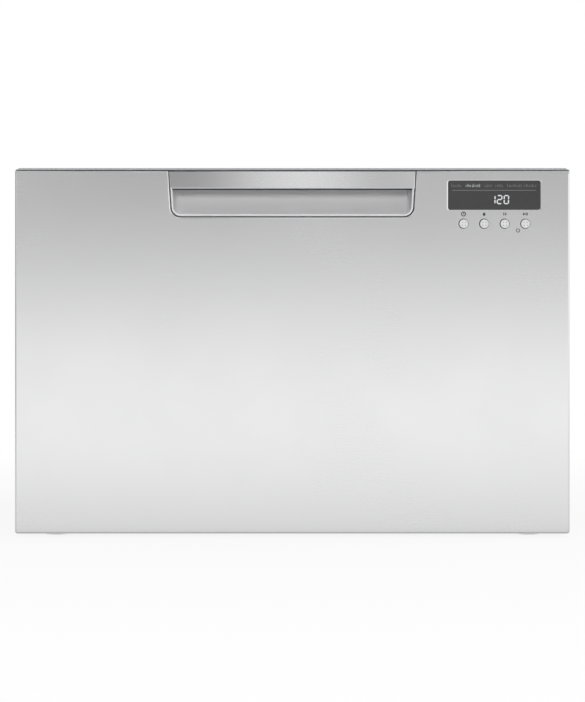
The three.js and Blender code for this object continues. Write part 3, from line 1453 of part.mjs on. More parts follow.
// Cutlery basket about the middle of its floor.
function cutleryBasket() {
  const wall = 2;
  const ringAt = (z, inset) =>
    roundedRing(basketHalf.x - inset, basketHalf.y - inset, 9 - Math.min(inset, 5), 2).map(
      ([x, y]) => new THREE.Vector3(x, y, z),
    );
  const outer = loft([ringAt(0, 3), ringAt(basketHeight - 8, 0), ringAt(basketHeight, 0)]);
  const inner = loft([ringAt(wall, 3 + wall), ringAt(basketHeight - 8, wall), ringAt(basketHeight + 1, wall)]);
  const dividers = [-1, 1].map((side) => {
    const y = (side * basketHalf.y) / 3;
    return block([-basketHalf.x + 3, basketHalf.x - 3], [y - 1, y + 1], [1, basketHeight - 12]);
  });
  const wallSlots = spread(-basketHalf.y + 22, basketHalf.y - 22, 5).map((y) =>
    block([-basketHalf.x - 1, basketHalf.x + 1], [y - 6, y + 6], [14, basketHeight - 22]),
  );
  const endSlots = [-9, 9].map((x) =>
    block([x - 5, x + 5], [-basketHalf.y - 1, basketHalf.y + 1], [14, basketHeight - 22]),
  );
  const floorSlots = spread(-basketHalf.y + 22, basketHalf.y - 22, 3).map((y) =>
    block([-basketHalf.x + 10, basketHalf.x - 10], [y - 4, y + 4], [-1, wall + 1]),
  );
  const handleTop = basketHeight + 24;
  const handle = wire(
    [
      [0, -basketHalf.y / 3, basketHeight - 20],
      [0, -basketHalf.y / 3 + 4, handleTop - 10],
      [0, -basketHalf.y / 3 + 16, handleTop],
      [0, basketHalf.y / 3 - 16, handleTop],
      [0, basketHalf.y / 3 - 4, handleTop - 10],
      [0, basketHalf.y / 3, basketHeight - 20],
    ],
    3,
    [1, 0, 0],
  );
  const open = cut(outer, inner, wallSlots, endSlots, floorSlots);
  return join(open, dividers, handle);
}

// ---------------------------------------------------------------- folding hose link under the tub
const linkSpanShut = 75; // base pivot to tub pivot, drawer shut
const linkTub = { x: linkBase.x, y: linkBase.y - linkSpanShut };
const linkElbow = {
  x: linkBase.x + Math.sqrt(armLength ** 2 - (linkSpanShut / 2) ** 2),
  y: linkBase.y - linkSpanShut / 2,
};
const elbowPin = 5;

// A hollow hose carrier from one pivot to the other, open along its top.
function linkArm(from, to, z) {
  const length = Math.hypot(to.x - from.x, to.y - from.y);
  const half = armWidth / 2;
  const body = planPrism(slotShape([0, 0], [length, 0], half), [0, armHeight], 3);
  const trough = block([half + 4, length - half - 4], [-half + 2.4, half - 2.4], [2.4, armHeight + 1]);
  const ties = spread(half, length - half, 5)
    .slice(1, -1)
    .map((x) => block([x - 4, x + 4], [-half + 1, half - 1], [armHeight - 2, armHeight]));
  const arm = join(cut(body, trough), ties);
  const turn = new THREE.Matrix4().makeRotationZ(Math.atan2(to.y - from.y, to.x - from.x));
  return moved(arm, turn.setPosition(from.x, from.y, z));
}

function linkRearArm() {
  const z = linkArmZ;
  const bore = rod("z", 5 + running, [z - 1, z + armHeight + 1], [linkBase.x, linkBase.y], 12);
  const pin = rod("z", elbowPin, [z + armHeight - 1, z + linkStep + armHeight + 1.5], [linkElbow.x, linkElbow.y], 8);
  const shoulder = rod("z", 10, [z + armHeight - 1, z + linkStep - running], [linkElbow.x, linkElbow.y], 8);
  return join(cut(linkArm(linkBase, linkElbow, z), bore), pin, shoulder);
}

function linkFrontArm() {
  const z = linkArmZ + linkStep;
  const bore = rod("z", elbowPin + running, [z - 1, z + armHeight + 1], [linkElbow.x, linkElbow.y], 12);
  const eye = rod("z", 5 + running, [z - 1, z + armHeight + 1], [linkTub.x, linkTub.y], 12);
  return cut(linkArm(linkTub, linkElbow, z), bore, eye);
}

const linkTopZ = linkArmZ + linkStep + armHeight;

function linkBracket() {
  const plate = planPrism(roundedShape(24, 20, 5, linkTub.x, linkTub.y), [tubFloorHeight - 4, tubFloorHeight - fit], 2);
  const post = rod("z", 12, [linkTopZ + running + 0.2, tubFloorHeight - 3], [linkTub.x, linkTub.y], 10);
  return join(plate, post);
}

function frontDrainHose() {
  const startX = pumpAt[0] - 64 - fit;
  const startY = pumpAt[1] + 14;
  const startZ = (pumpBottom + pumpTop) / 2;
  const endZ = (linkTopZ + tubFloorHeight) / 2;
  const line = new THREE.CatmullRomCurve3([
    new THREE.Vector3(startX, startY, startZ),
    new THREE.Vector3(startX - 22, startY, startZ),
    new THREE.Vector3(startX - 60, startY + 20, startZ + 10),
    new THREE.Vector3(linkTub.x + 4, linkTub.y - 60, endZ - 1),
    new THREE.Vector3(linkTub.x, linkTub.y - 30, endZ),
    new THREE.Vector3(linkTub.x, linkTub.y - 12.6, endZ),
  ]);
  const section = new THREE.Shape().absarc(0, 0, 7, 0, Math.PI * 2);
  return solidOf(new THREE.ExtrudeGeometry(section, { steps: 10, extrudePath: line, curveSegments: 3 }));
}

// ---------------------------------------------------------------- putting it together
placePair(chassis, "chassis_side", chassisSide(), galvanised);
place(chassis, "chassis_top", chassisTopSheet(), galvanised);
place(chassis, "chassis_back", chassisBack(), galvanised);
place(chassis, "base_tray", baseTray(), trayBlack);
for (const [side, x] of [["left", -footX], ["right", footX]]) {
  place(chassis, `foot_front_${side}`, levellingFoot(), rubber, [x, footYs[0], 0]);
  place(chassis, `foot_rear_${side}`, levellingFoot(), rubber, [x, footYs[1], 0]);
}
placePair(chassis, "runner_outer", shifted(runnerOuter(), 0, 0, runnerZ), runnerSteel);
placePair(chassis, "runner_middle", shifted(runnerMiddle(), 0, 0, runnerZ), runnerSteel);
placePair(chassis, "lid_guide", lidGuide(), galvanised);
placePair(chassis, "lid_wedge", lidWedge(), whitePlastic);
placePair(chassis, "lid_actuator", lidActuator(), whitePlastic);
place(chassis, "lid_panel", lidPanel(), lidGrey);
place(chassis, "lid_seal", lidSeal(), rubber);
place(chassis, "inlet_valve", inletValve(), whitePlastic);
place(chassis, "rear_drain_hose", rearDrainHose(), hoseGrey);
place(chassis, "link_rear_arm", linkRearArm(), basketGrey);
place(chassis, "link_front_arm", linkFrontArm(), basketGrey);

place(drawer, "front_skin", frontSkin(), stainless);
place(drawer, "door_frame", doorFrame(), frameGrey);
place(drawer, "handle_scoop", handleScoop(), stainless);
place(drawer, "handle_bar", handleBar(), brushedBar);
place(drawer, "display_window", displayWindow(), glassGrey);
place(drawer, "display_carrier", displayCarrier(), whitePlastic);
place(drawer, "display_board", displayBoard(), boardGreen);
buttonXs.forEach((x, i) => {
  place(drawer, `button_${i + 1}`, pushButton(), silverPlastic, [x, carrierFrontY, buttonZ]);
});
place(drawer, "controller_box", controllerBox(), trayBlack);
place(drawer, "tub", tub(), tubGrey);
placePair(drawer, "runner_inner", shifted(runnerInner(), 0, 0, runnerZ), runnerSteel);
place(drawer, "pump_housing", pumpHousing(), whitePlastic, [...pumpAt, 0]);
place(drawer, "pump_rotor", pumpRotor(), trayBlack, [...pumpAt, 0]);
place(drawer, "filter_plate", filterPlate(), filterSteel, [...pumpAt, 0]);
place(drawer, "drain_filter", drainFilter(), basketGrey, [0, tubMidY + drainFilterAt, 0]);
place(drawer, "spray_arm", sprayArm(), basketGrey, [0, tubMidY, sprayHubBottom + 7]);
place(drawer, "dispenser_body", dispenserBody(), whitePlastic);
place(drawer, "dispenser_door", dispenserDoor(), silverPlastic);
place(drawer, "rinse_aid_cap", rinseCap(), capBlue, [rinseAt.x, dispenserFaceY, rinseAt.z]);
place(drawer, "fan_housing", fanHousing(), trayBlack);
place(drawer, "fan_rotor", fanRotor(), whitePlastic, [fanAt.x, fanY[0], fanAt.z]);
place(drawer, "rack_left", rackLeft(), rackCoat);
place(drawer, "rack_right", rackRight(), rackCoat);
foldingTineXs.forEach((x, i) => {
  place(drawer, `tine_row_${i + 1}`, tineRow(), rackCoat, [x, 0, tineAxleZ]);
});
place(drawer, "cup_shelf_left", mirrored(cupShelf()), rackCoat, [-rackOuterX, 0, shelfHingeZ]);
place(drawer, "cup_shelf_right", cupShelf(), rackCoat, [rackOuterX, 0, shelfHingeZ]);
place(drawer, "cutlery_basket", cutleryBasket(), basketGrey, basketAt);
place(drawer, "link_bracket", linkBracket(), basketGrey);
place(drawer, "front_drain_hose", frontDrainHose(), hoseGrey);

export default appliance;
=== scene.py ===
import bmesh
import bpy
import math
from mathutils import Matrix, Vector
from mathutils.geometry import tessellate_polygon


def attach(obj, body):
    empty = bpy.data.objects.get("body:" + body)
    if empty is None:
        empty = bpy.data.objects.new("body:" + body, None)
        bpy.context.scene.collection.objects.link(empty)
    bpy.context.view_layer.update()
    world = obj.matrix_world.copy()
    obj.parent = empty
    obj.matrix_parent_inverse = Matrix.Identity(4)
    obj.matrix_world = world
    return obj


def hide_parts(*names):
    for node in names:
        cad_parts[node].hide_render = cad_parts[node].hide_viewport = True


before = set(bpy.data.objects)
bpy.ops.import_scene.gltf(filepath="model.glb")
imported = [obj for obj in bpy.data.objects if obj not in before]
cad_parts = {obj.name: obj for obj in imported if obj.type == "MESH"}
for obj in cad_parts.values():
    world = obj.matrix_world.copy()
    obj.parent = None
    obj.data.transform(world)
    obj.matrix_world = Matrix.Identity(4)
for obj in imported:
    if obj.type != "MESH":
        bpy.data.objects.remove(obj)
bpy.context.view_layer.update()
MM = 0.001

# Driving sizes in millimetres, the same as the part's
FRONT = -286.47  # the front sheet's face
PANEL = (299.5, 4.0, 395.8)  # half width, lower edge, upper edge
WINDOW = (218.0, 369.6, 99.9, 31.5, 2.2)  # centre x and z, width, height, corner
BUTTONS = [(184.7, 338.8), (206.9, 338.8), (229.1, 338.8), (251.3, 338.8)]  # centres, x and z
BUTTON = 5.25  # a button's radius
TUB_MID = -9.75  # the tub's middle along y


# ---------- materials
class Tree:
    """Nodes being joined. An input is given as a value or as another node's output."""

    def __init__(self, tree):
        self.nodes, self.links = tree.nodes, tree.links

    def feed(self, node, inputs):
        for key, value in inputs.items():
            if isinstance(value, bpy.types.NodeSocket):
                self.links.new(value, node.inputs[key])
            else:
                node.inputs[key].default_value = value
        return node

    def node(self, kind, inputs=None, **settings):
        node = self.nodes.new(f"ShaderNode{kind}")
        for key, value in settings.items():
            setattr(node, key, value)
        return self.feed(node, inputs or {})

    def math(self, how, a, b):
        return self.node("Math", {0: a, 1: b}, operation=how).outputs[0]

    def add(self, a, b):
        return self.math("ADD", a, b)

    def blend(self, amount, low, high):
        """One shader node turning into another."""
        return self.node("MixShader", {0: amount, 1: low.outputs[0], 2: high.outputs[0]})

    def seen_rays(self):
        """A socket that is 1 for the rays which show the background: the camera's, reflections and glass."""
        path = self.node("LightPath").outputs
        mirrored = self.math("MAXIMUM", path["Is Glossy Ray"], path["Is Transmission Ray"])
        return self.math("MAXIMUM", path["Is Camera Ray"], mirrored)


class Look(Tree):
    """A node material being built: small helpers keep each recipe short."""

    def __init__(self, name):
        self.material = bpy.data.materials.new(name)
        self.material.use_nodes = True
        super().__init__(self.material.node_tree)
        self.shader = self.nodes["Principled BSDF"]
        self.coords = self.node("TexCoord").outputs["Object"]

    def scaled(self, scale):
        """Coordinates scaled per metre, by one number or by one for each axis."""
        scale = scale if isinstance(scale, tuple) else (scale,) * 3
        return self.node("Mapping", {"Vector": self.coords, "Scale": scale}).outputs["Vector"]

    def noise(self, scale, detail=3, rough=0.55):
        inputs = {"Vector": self.scaled(scale), "Scale": 1, "Detail": detail, "Roughness": rough}
        return self.node("TexNoise", inputs).outputs["Fac"]

    def cells(self, scale, output):
        return self.node("TexVoronoi", {"Vector": self.scaled(scale), "Scale": 1}).outputs[output]

    def span(self, value, low, high, start=0.0, end=1.0):
        """A value between start and end, spread from low to high."""
        inputs = {"Value": value, "From Min": start, "From Max": end, "To Min": low, "To Max": high}
        return self.node("MapRange", inputs).outputs["Result"]

    def mix(self, amount, low, high):
        inputs = {"Factor": amount, "A": (*low, 1), "B": (*high, 1)}
        return self.node("Mix", inputs, data_type="RGBA").outputs["Result"]

    def shades(self, amount, colour, down, up, lift=0.0):
        """A colour between its darker and its lighter shade."""
        return self.mix(amount, [c * down for c in colour], [min(1, c * up + lift) for c in colour])

    def bump(self, height, distance, strength):
        inputs = {"Height": height, "Distance": distance, "Strength": strength}
        return self.node("Bump", inputs).outputs["Normal"]

    def shaded(self, **inputs):
        """The material, with these inputs of its shader set."""
        self.feed(self.shader, {key.replace("_", " "): value for key, value in inputs.items()})
        return self.material


def rgb(*values):
    """Linear colour for 8-bit display values."""
    shares = [value / 255 for value in values]
    return tuple(c / 12.92 if c <= 0.04045 else ((c + 0.055) / 1.055) ** 2.4 for c in shares)


def brushed(name, colour, rough, grain, spread=0.05, depth=0.00002, aniso=0.0, metal=1.0, vary=0.045):
    """Metal with a fine grain. grain scales the noise per metre along x, y and z."""
    look = Look(name)
    lines = look.noise(grain, detail=4, rough=0.6)
    fine = look.noise(tuple(g * 3.1 for g in grain), detail=2)
    worn = look.noise(9)
    tone = look.add(look.span(lines, 0, 0.7), look.span(worn, 0, 0.3))
    dull = look.add(look.span(lines, rough - spread, rough + spread, 0.3, 0.7),
                    look.span(worn, -0.02, 0.03, 0.3, 0.7))
    if aniso:
        tangent = look.node("Tangent", direction_type="RADIAL", axis="X").outputs["Tangent"]
        look.shaded(Anisotropic=aniso, Tangent=tangent)
    return look.shaded(Metallic=metal, Roughness=dull, Normal=look.bump(look.add(lines, fine), depth, 0.35),
                       Base_Color=look.shades(tone, colour, 1 - vary, 1 + vary))


def zinc(name, colour, rough=0.42):
    """Galvanised sheet: soft spangle, fine grain and dull patches."""
    look = Look(name)
    flake = look.node("SeparateColor", {"Color": look.cells(170, "Color")}).outputs["Red"]
    patches = look.noise(5, detail=4)
    fine = look.noise(420, detail=2)
    tone = look.add(look.span(flake, 0, 0.55), look.span(patches, 0, 0.45))
    dull = look.add(look.span(flake, rough - 0.05, rough + 0.05), look.span(patches, -0.03, 0.05))
    height = look.add(fine, look.math("MULTIPLY", flake, 0.4))
    return look.shaded(Metallic=0.85, Roughness=dull, Normal=look.bump(height, 0.00005, 0.4),
                       Base_Color=look.shades(tone, colour, 0.9, 1.07))


def plastic(name, colour, rough=0.45, grain=900, depth=0.00004, vary=0.05):
    """Moulded plastic: spark-eroded grain, slight shade variation and rubbed patches."""
    look = Look(name)
    fine = look.noise(grain)
    rubbed = look.noise(60, detail=5, rough=0.65)
    tone = look.span(look.noise(14), 0, 1, 0.3, 0.7)
    dull = look.add(look.span(rubbed, rough - 0.05, rough + 0.06, 0.3, 0.7), look.span(fine, -0.03, 0.03))
    return look.shaded(Roughness=dull, Normal=look.bump(fine, depth, 0.45),
                       Base_Color=look.shades(tone, colour, 1 - vary, 1 + vary))


def coated_wire(name, colour):
    """Nylon-dipped wire: glossy, with the orange-peel of the dip."""
    look = Look(name)
    broad = look.noise(30)
    return look.shaded(Roughness=look.span(broad, 0.26, 0.4), Base_Color=look.shades(broad, colour, 0.92, 1.06),
                       Normal=look.bump(look.noise(700, detail=2), 0.00008, 0.5))


def rubbery(name, colour, rough=0.72):
    """Matt rubber with pale dust on it."""
    look = Look(name)
    dust = look.noise(45, detail=5, rough=0.7)
    tone = look.span(dust, 0, 1, 0.45, 0.75)
    return look.shaded(Roughness=look.span(dust, rough - 0.08, rough + 0.1),
                       Base_Color=look.shades(tone, colour, 1, 1.6, 0.01),
                       Normal=look.bump(look.noise(1300, detail=2), 0.00006, 0.5))


def smoked(name, colour, rough=0.1):
    """Dark acrylic: polished, with faint dust and hairline scratches."""
    look = Look(name)
    dust = look.noise(160, detail=5, rough=0.75)
    hair = look.noise((30, 30, 2600), detail=2)
    dull = look.add(look.span(dust, rough - 0.02, rough + 0.05, 0.35, 0.7), look.span(hair, 0, 0.03, 0.5, 0.8))
    return look.shaded(Roughness=dull, Specular_IOR_Level=0.35, Normal=look.bump(hair, 0.000004, 0.2),
                       Base_Color=look.shades(look.span(dust, 0, 1, 0.5, 0.9), colour, 1, 1.15))


def ink(name, colour, rough=0.6, light=0.0):
    """Printed or lit marks: slightly uneven density."""
    look = Look(name)
    dots = look.noise(1800, detail=2)
    if light:
        look.shaded(Emission_Color=(*colour, 1), Emission_Strength=light)
    return look.shaded(Roughness=look.span(dots, rough - 0.05, rough + 0.05),
                       Base_Color=look.shades(dots, colour, 0.9, 1.05), Normal=look.bump(dots, 0.00001, 0.3))


def board(name):
    """Solder mask over copper tracks."""
    look = Look(name)
    line = look.span(look.cells(260, "Distance"), 0, 1, 0.25, 0.3)
    return look.shaded(Base_Color=look.mix(line, rgb(30, 92, 62), rgb(52, 120, 84)),
                       Roughness=look.span(look.noise(200), 0.25, 0.4), Normal=look.bump(line, 0.00004, 0.5))


M = {
    "skin": brushed("skin_steel", rgb(210, 210, 211), 0.25, (4, 4, 2600), spread=0.012, depth=0.000007, vary=0.015),
    "bar": brushed("bar_steel", rgb(210, 210, 211), 0.26, (25, 900, 900), spread=0.008, depth=0.000012, aniso=0.95,
                   vary=0.01),
    "scoop": brushed("scoop_steel", rgb(212, 212, 213), 0.5, (10, 1500, 1500), metal=0.12),
    "zinc": zinc("zinc_sheet", rgb(190, 194, 197)),
    "runner": brushed("runner_zinc", rgb(196, 199, 203), 0.3, (900, 6, 900)),
    "sheet": brushed("filter_sheet", rgb(190, 192, 194), 0.3, (300, 300, 300)),
    "frame": plastic("frame_plastic", rgb(163, 164, 166), 0.42),
    "tub": plastic("tub_plastic", rgb(212, 215, 218), 0.4, grain=500),
    "lid": plastic("lid_plastic", rgb(204, 207, 210), 0.45),
    "black": plastic("tray_plastic", rgb(42, 44, 47), 0.5, depth=0.00006),
    "white": plastic("white_plastic", rgb(226, 228, 229), 0.42),
    "silver": plastic("silver_plastic", rgb(214, 214, 215), 0.32, grain=1600, depth=0.00001, vary=0.02),
    # the dimples' darker colour is painted shade in those small recesses
    "dimple": plastic("dimple_painted_shade", rgb(150, 150, 151), 0.4, grain=1600, depth=0.00001),
    "dark": plastic("basket_plastic", rgb(104, 109, 114), 0.5),
    "blue": plastic("cap_plastic", rgb(52, 102, 160), 0.35),
    "hose": rubbery("hose_rubber", rgb(84, 87, 90), 0.55),
    "rubber": rubbery("seal_rubber", rgb(33, 34, 36)),
    "wire": coated_wire("rack_nylon", rgb(140, 146, 152)),
    "window": smoked("smoked_window", rgb(62, 62, 62)),
    "arm": plastic("arm_plastic", rgb(122, 127, 132), 0.4, grain=600),
    "board": board("circuit_board"),
    "ink": ink("grey_print", rgb(46, 46, 48)),
    "lit": ink("lit_digits", rgb(212, 215, 217), light=0.1),
    "word": ink("lit_word", rgb(188, 191, 193), light=0.1),
    "dim": ink("dim_marks", rgb(112, 112, 112), light=0.03),
}


# ---------- outlines
def rect(u0, v0, u1, v1):
    return [(u0, v0), (u1, v0), (u1, v1), (u0, v1)]


def circle(u, v, radius, sides=40):
    angles = [2 * math.pi * k / sides for k in range(sides)]
    return [(u + radius * math.cos(a), v + radius * math.sin(a)) for a in angles]


def arc(u, v, radius, start, end, steps=6):
    """Points of an arc about (u, v), angles in degrees."""
    angles = [math.radians(start + (end - start) * k / steps) for k in range(steps + 1)]
    return [(u + radius * math.cos(a), v + radius * math.sin(a)) for a in angles]


def rounded_rect(u, v, half_u, half_v, radius, steps=8):
    """Anticlockwise outline of a rounded rectangle."""
    outline = []
    for quarter, (su, sv) in enumerate(((1, 1), (-1, 1), (-1, -1), (1, -1))):
        corner_u, corner_v = u + su * (half_u - radius), v + sv * (half_v - radius)
        for k in range(steps + 1):
            a = (quarter + k / steps) * math.pi / 2
            outline.append((corner_u + radius * math.cos(a), corner_v + radius * math.sin(a)))
    return outline


def inset(outline, amounts):
    """The closed outline moved inward (to its left) by an amount per point, with mitred corners."""
    moved = []
    for i, ((u, v), amount) in enumerate(zip(outline, amounts)):
        (pu, pv), (nu, nv) = outline[i - 1], outline[(i + 1) % len(outline)]
        a, b = Vector((u - pu, v - pv)).normalized(), Vector((nu - u, nv - v)).normalized()
        na, nb = Vector((-a.y, a.x)), Vector((-b.y, b.x))
        shift = (na + nb) / (1 + na.dot(nb))
        moved.append((u + shift.x * amount, v + shift.y * amount))
    return moved


def rounded_line(points, radius, steps=6):
    """The points as vectors, each corner replaced by an arc of the radius."""
    pts = [Vector(p) for p in points]
    line = [pts[0]]
    for before, p, after in zip(pts, pts[1:], pts[2:]):
        a, b = before - p, after - p
        angle = a.angle(b)
        if angle > math.pi - 0.01:
            line.append(p)
            continue
        reach = min(radius / math.tan(angle / 2), a.length * 0.49, b.length * 0.49)
        r = reach * math.tan(angle / 2)
        centre = p + (a.normalized() + b.normalized()).normalized() * (r / math.sin(angle / 2))
        start, end = p + a.normalized() * reach - centre, p + b.normalized() * reach - centre
        sweep = math.pi - angle
        for k in range(steps + 1):
            t = k / steps
            line.append(centre + (start * math.sin((1 - t) * sweep) + end * math.sin(t * sweep)) / math.sin(sweep))
    return [*line, pts[-1]]


def pin(radius, low, high):
    """Lathe profile of a plain pin."""
    return [(0.01, low), (radius, low), (radius, high), (0.01, high)]


def triangles(loops):
    """Triangles between an outline and the holes in it, by the number of the point."""
    return [tuple(t) for t in tessellate_polygon([[Vector((p[0], p[1], 0)) for p in loop] for loop in loops])]


# ---------- mesh building
BOX_FACES = [(0, 2, 3, 1), (4, 5, 7, 6), (0, 1, 5, 4), (2, 6, 7, 3), (0, 4, 6, 2), (1, 3, 7, 5)]


class Shape:
    """Vertices and faces in millimetres, gathered before they become one piece."""

    def __init__(self):
        self.verts = []
        self.faces = []

    def add(self, verts, faces):
        base = len(self.verts)
        self.verts += [tuple(v) for v in verts]
        self.faces += [tuple(i + base for i in f) for f in faces]
        return self

    def grid(self, rows, close_rows=False, close_columns=False):
        """Quads between rows of points."""
        count = len(rows[0])
        faces = []
        for i in range(len(rows) - (0 if close_rows else 1)):
            here, there = i * count, ((i + 1) % len(rows)) * count
            for j in range(count - (0 if close_columns else 1)):
                k = (j + 1) % count
                faces.append((here + j, here + k, there + k, there + j))
        return self.add([p for row in rows for p in row], faces)

    def loft(self, rings):
        """A tube through closed rings, capped with one face at each end."""
        count = len(rings[0])
        self.grid(rings, close_columns=True)
        last = len(self.verts) - count
        first = last + count - count * len(rings)
        self.faces.append(tuple(range(first, first + count))[::-1])
        self.faces.append(tuple(range(last, last + count)))
        return self

    def lathe(self, profile, centre, axis="z", sides=48, ring=False):
        """profile is (radius, height) pairs; the solid, or the ring, turns about axis through centre."""
        rings = []
        for radius, height in profile:
            points = []
            for u, v in circle(0, 0, radius, sides):
                point = {"x": (height, u, v), "y": (v, height, u), "z": (u, v, height)}[axis]
                points.append(tuple(c + p for c, p in zip(centre, point)))
            rings.append(points)
        return self.grid(rings, close_rows=True, close_columns=True) if ring else self.loft(rings)

    def sheet(self, outline, hole):
        """A flat face between a line of points and a hole in it."""
        return self.add(outline + hole, triangles([outline, hole]))

    def tube(self, points, radius, sides=10, closed=False, bend=0, radii=None):
        """Round wire along points, with the corners rounded to the radius bend."""
        line = rounded_line(points, bend) if bend else [Vector(p) for p in points]
        ends = [line[-1], *line, line[0]] if closed else [line[0], *line, line[-1]]
        tangents = [(b - a).normalized() for a, b in zip(ends, ends[2:])]
        side = tangents[0].orthogonal().normalized()
        rings = []
        for i, (p, t) in enumerate(zip(line, tangents)):
            side = (side - t * side.dot(t)).normalized()
            up = t.cross(side)
            rings.append([p + side * c + up * s for c, s in circle(0, 0, radii[i] if radii else radius, sides)])
        return self.close(rings) if closed else self.loft(rings)

    def close(self, rings):
        """Rings into a loop, turned a little from one to the next so that the last meets the first."""
        first, last, sides = rings[0], rings[-1], range(len(rings[0]))
        count = len(sides)
        turn = min(sides, key=lambda s: sum((first[k] - last[(k + s) % count]).length for k in sides))
        turned = []
        for i, ring in enumerate(rings):
            shift = round(turn * i / (len(rings) - 1))
            turned.append([ring[(k + shift) % count] for k in sides])
        return self.grid(turned, close_rows=True, close_columns=True)

    def box(self, x, y, z):
        """A box between two places along each axis, given in any order."""
        x, y, z = sorted(x), sorted(y), sorted(z)
        return self.add([(x[i], y[j], z[k]) for k in (0, 1) for j in (0, 1) for i in (0, 1)], BOX_FACES)

    def prism(self, outline, low, high, plane="xz", holes=()):
        """Outline pushed through: plane xz goes along y, xy along z."""
        loops = [list(outline), *[list(h) for h in holes]]
        flat = [p for loop in loops for p in loop]
        verts = [(u, w, v) if plane == "xz" else (u, v, w) for w in (low, high) for u, v in flat]
        caps = triangles(loops)
        count, start = len(flat), 0
        faces = caps + [tuple(i + count for i in t)[::-1] for t in caps]
        for loop in loops:
            n = len(loop)
            for j in range(n):
                a, b = start + j, start + (j + 1) % n
                faces.append((a, b, b + count, a + count))
            start += n
        return self.add(verts, faces)

    def staged(self, name, material, weld=0.0):
        """A plain object out of the shape."""
        mesh = bpy.data.meshes.new(name)
        mesh.from_pydata([tuple(c * MM for c in v) for v in self.verts], [], self.faces)
        mesh.validate()
        clean(mesh, weld)
        mesh.materials.append(material)
        return placed(name, mesh)

    def piece(self, name, look, slot=None, node=None, body="drawer", smooth=35, bevel=0.0, weld=0.0, cuts=()):
        """A piece of the object that rides on a body and stands for a CAD node; its slot is not used."""
        obj = self.staged(name, M[look], weld)
        for cut in cuts:
            carve(obj, cut)
        obj.data.shade_smooth()
        obj.data.set_sharp_from_angle(angle=math.radians(smooth))
        if bevel:
            add_bevel(obj, bevel)
        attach(obj, body)
        if node:
            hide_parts(node)
        return obj


def placed(name, data):
    """A new object in the scene."""
    obj = bpy.data.objects.new(name, data)
    bpy.context.scene.collection.objects.link(obj)
    return obj


def clean(mesh, weld):
    """Weld near points, if asked to, and turn all faces outward."""
    bm = bmesh.new()
    bm.from_mesh(mesh)
    if weld:
        bmesh.ops.remove_doubles(bm, verts=bm.verts, dist=weld * MM)
    bmesh.ops.recalc_face_normals(bm, faces=bm.faces)
    bm.to_mesh(mesh)
    bm.free()


def carve(obj, cutter):
    """Cut a shape out of an object for good."""
    tool = cutter.staged("cutter", obj.data.materials[0], 0.002)
    modifier = obj.modifiers.new("carve", "BOOLEAN")
    modifier.object = tool
    modifier.operation = "DIFFERENCE"
    modifier.solver = "EXACT"
    bpy.context.view_layer.update()
    mesh = bpy.data.meshes.new_from_object(obj.evaluated_get(bpy.context.evaluated_depsgraph_get()))
    obj.modifiers.clear()
    obj.data = mesh
    bpy.data.objects.remove(tool)


def add_bevel(obj, width, angle=30):
    modifier = obj.modifiers.new("edges", "BEVEL")
    modifier.width = width * MM
    modifier.segments = 2
    modifier.limit_method = "ANGLE"
    modifier.angle_limit = math.radians(angle)
    modifier.harden_normals = True
    modifier.miter_outer = "MITER_ARC"


# ---------- the front
RIMS = {  # width and depth of the sheet's pressed rims
    "outer": (2.2, 2.2), "top": (0.5, 0.5), "recess": (1.5, 0.85), "window": (1.3, 0.75), "button": (0.35, 0.3),
}
RECESS = {"top": 134.2, "low": 131.8, "floor": 345.6, "corner": 11.3}
BAR = (376.7, 395.5)  # the pull bar's lower and upper edge
GAP = 1.3  # dark joint between the front sheet and the hand recess
GLASS = 0.46  # how far the printed marks of the display stand behind the sheet
MARK = 0.05  # thickness of a printed mark


def recess_line(gap, top, side=0.0, rise=0.0):
    """Hand recess from its upper right corner down, round and up to its upper left, drawn in by gap."""
    low = RECESS["floor"] + gap + rise
    r = max(RECESS["corner"] - gap, 2)
    half_top, half_low = RECESS["top"] - gap - side, RECESS["low"] - gap - side
    step = [(half_low + (half_top - half_low) * (z - low - r) / (top - low - r), z)
            for z in (BAR[0] + 1.2, BAR[0] + 0.2)]
    right = arc(half_low - r, low + r, r, 0, -90, 16)
    left = arc(-half_low + r, low + r, r, -90, -180, 16)
    return [(half_top, top), *step, *right, *left, *[(-x, z) for x, z in reversed(step)], (-half_top, top)]


def rim_rows(outline, sizes, side, wall):
    """Rows of a rim that falls back to the outline, round where it is as deep as wide, then a wall.
    side is 1 for the sheet's own edge and -1 for a hole's."""
    rows = []
    for k in range(7):
        a = k / 6 * math.pi / 2
        drawn, sunk = [], []
        for width, depth in sizes:
            flat = 0 if width == depth else 0.75  # how straight the slope is
            drawn.append(side * width * ((1 - flat) * (1 - math.sin(a)) + flat * (1 - k / 6)))
            sunk.append(depth * ((1 - flat) * (1 - math.cos(a)) + flat * k / 6))
        rows.append([(u, FRONT + y, v) for (u, v), y in zip(inset(outline, drawn), sunk)])
    return [*rows, [(u, FRONT + wall, v) for u, v in outline]]


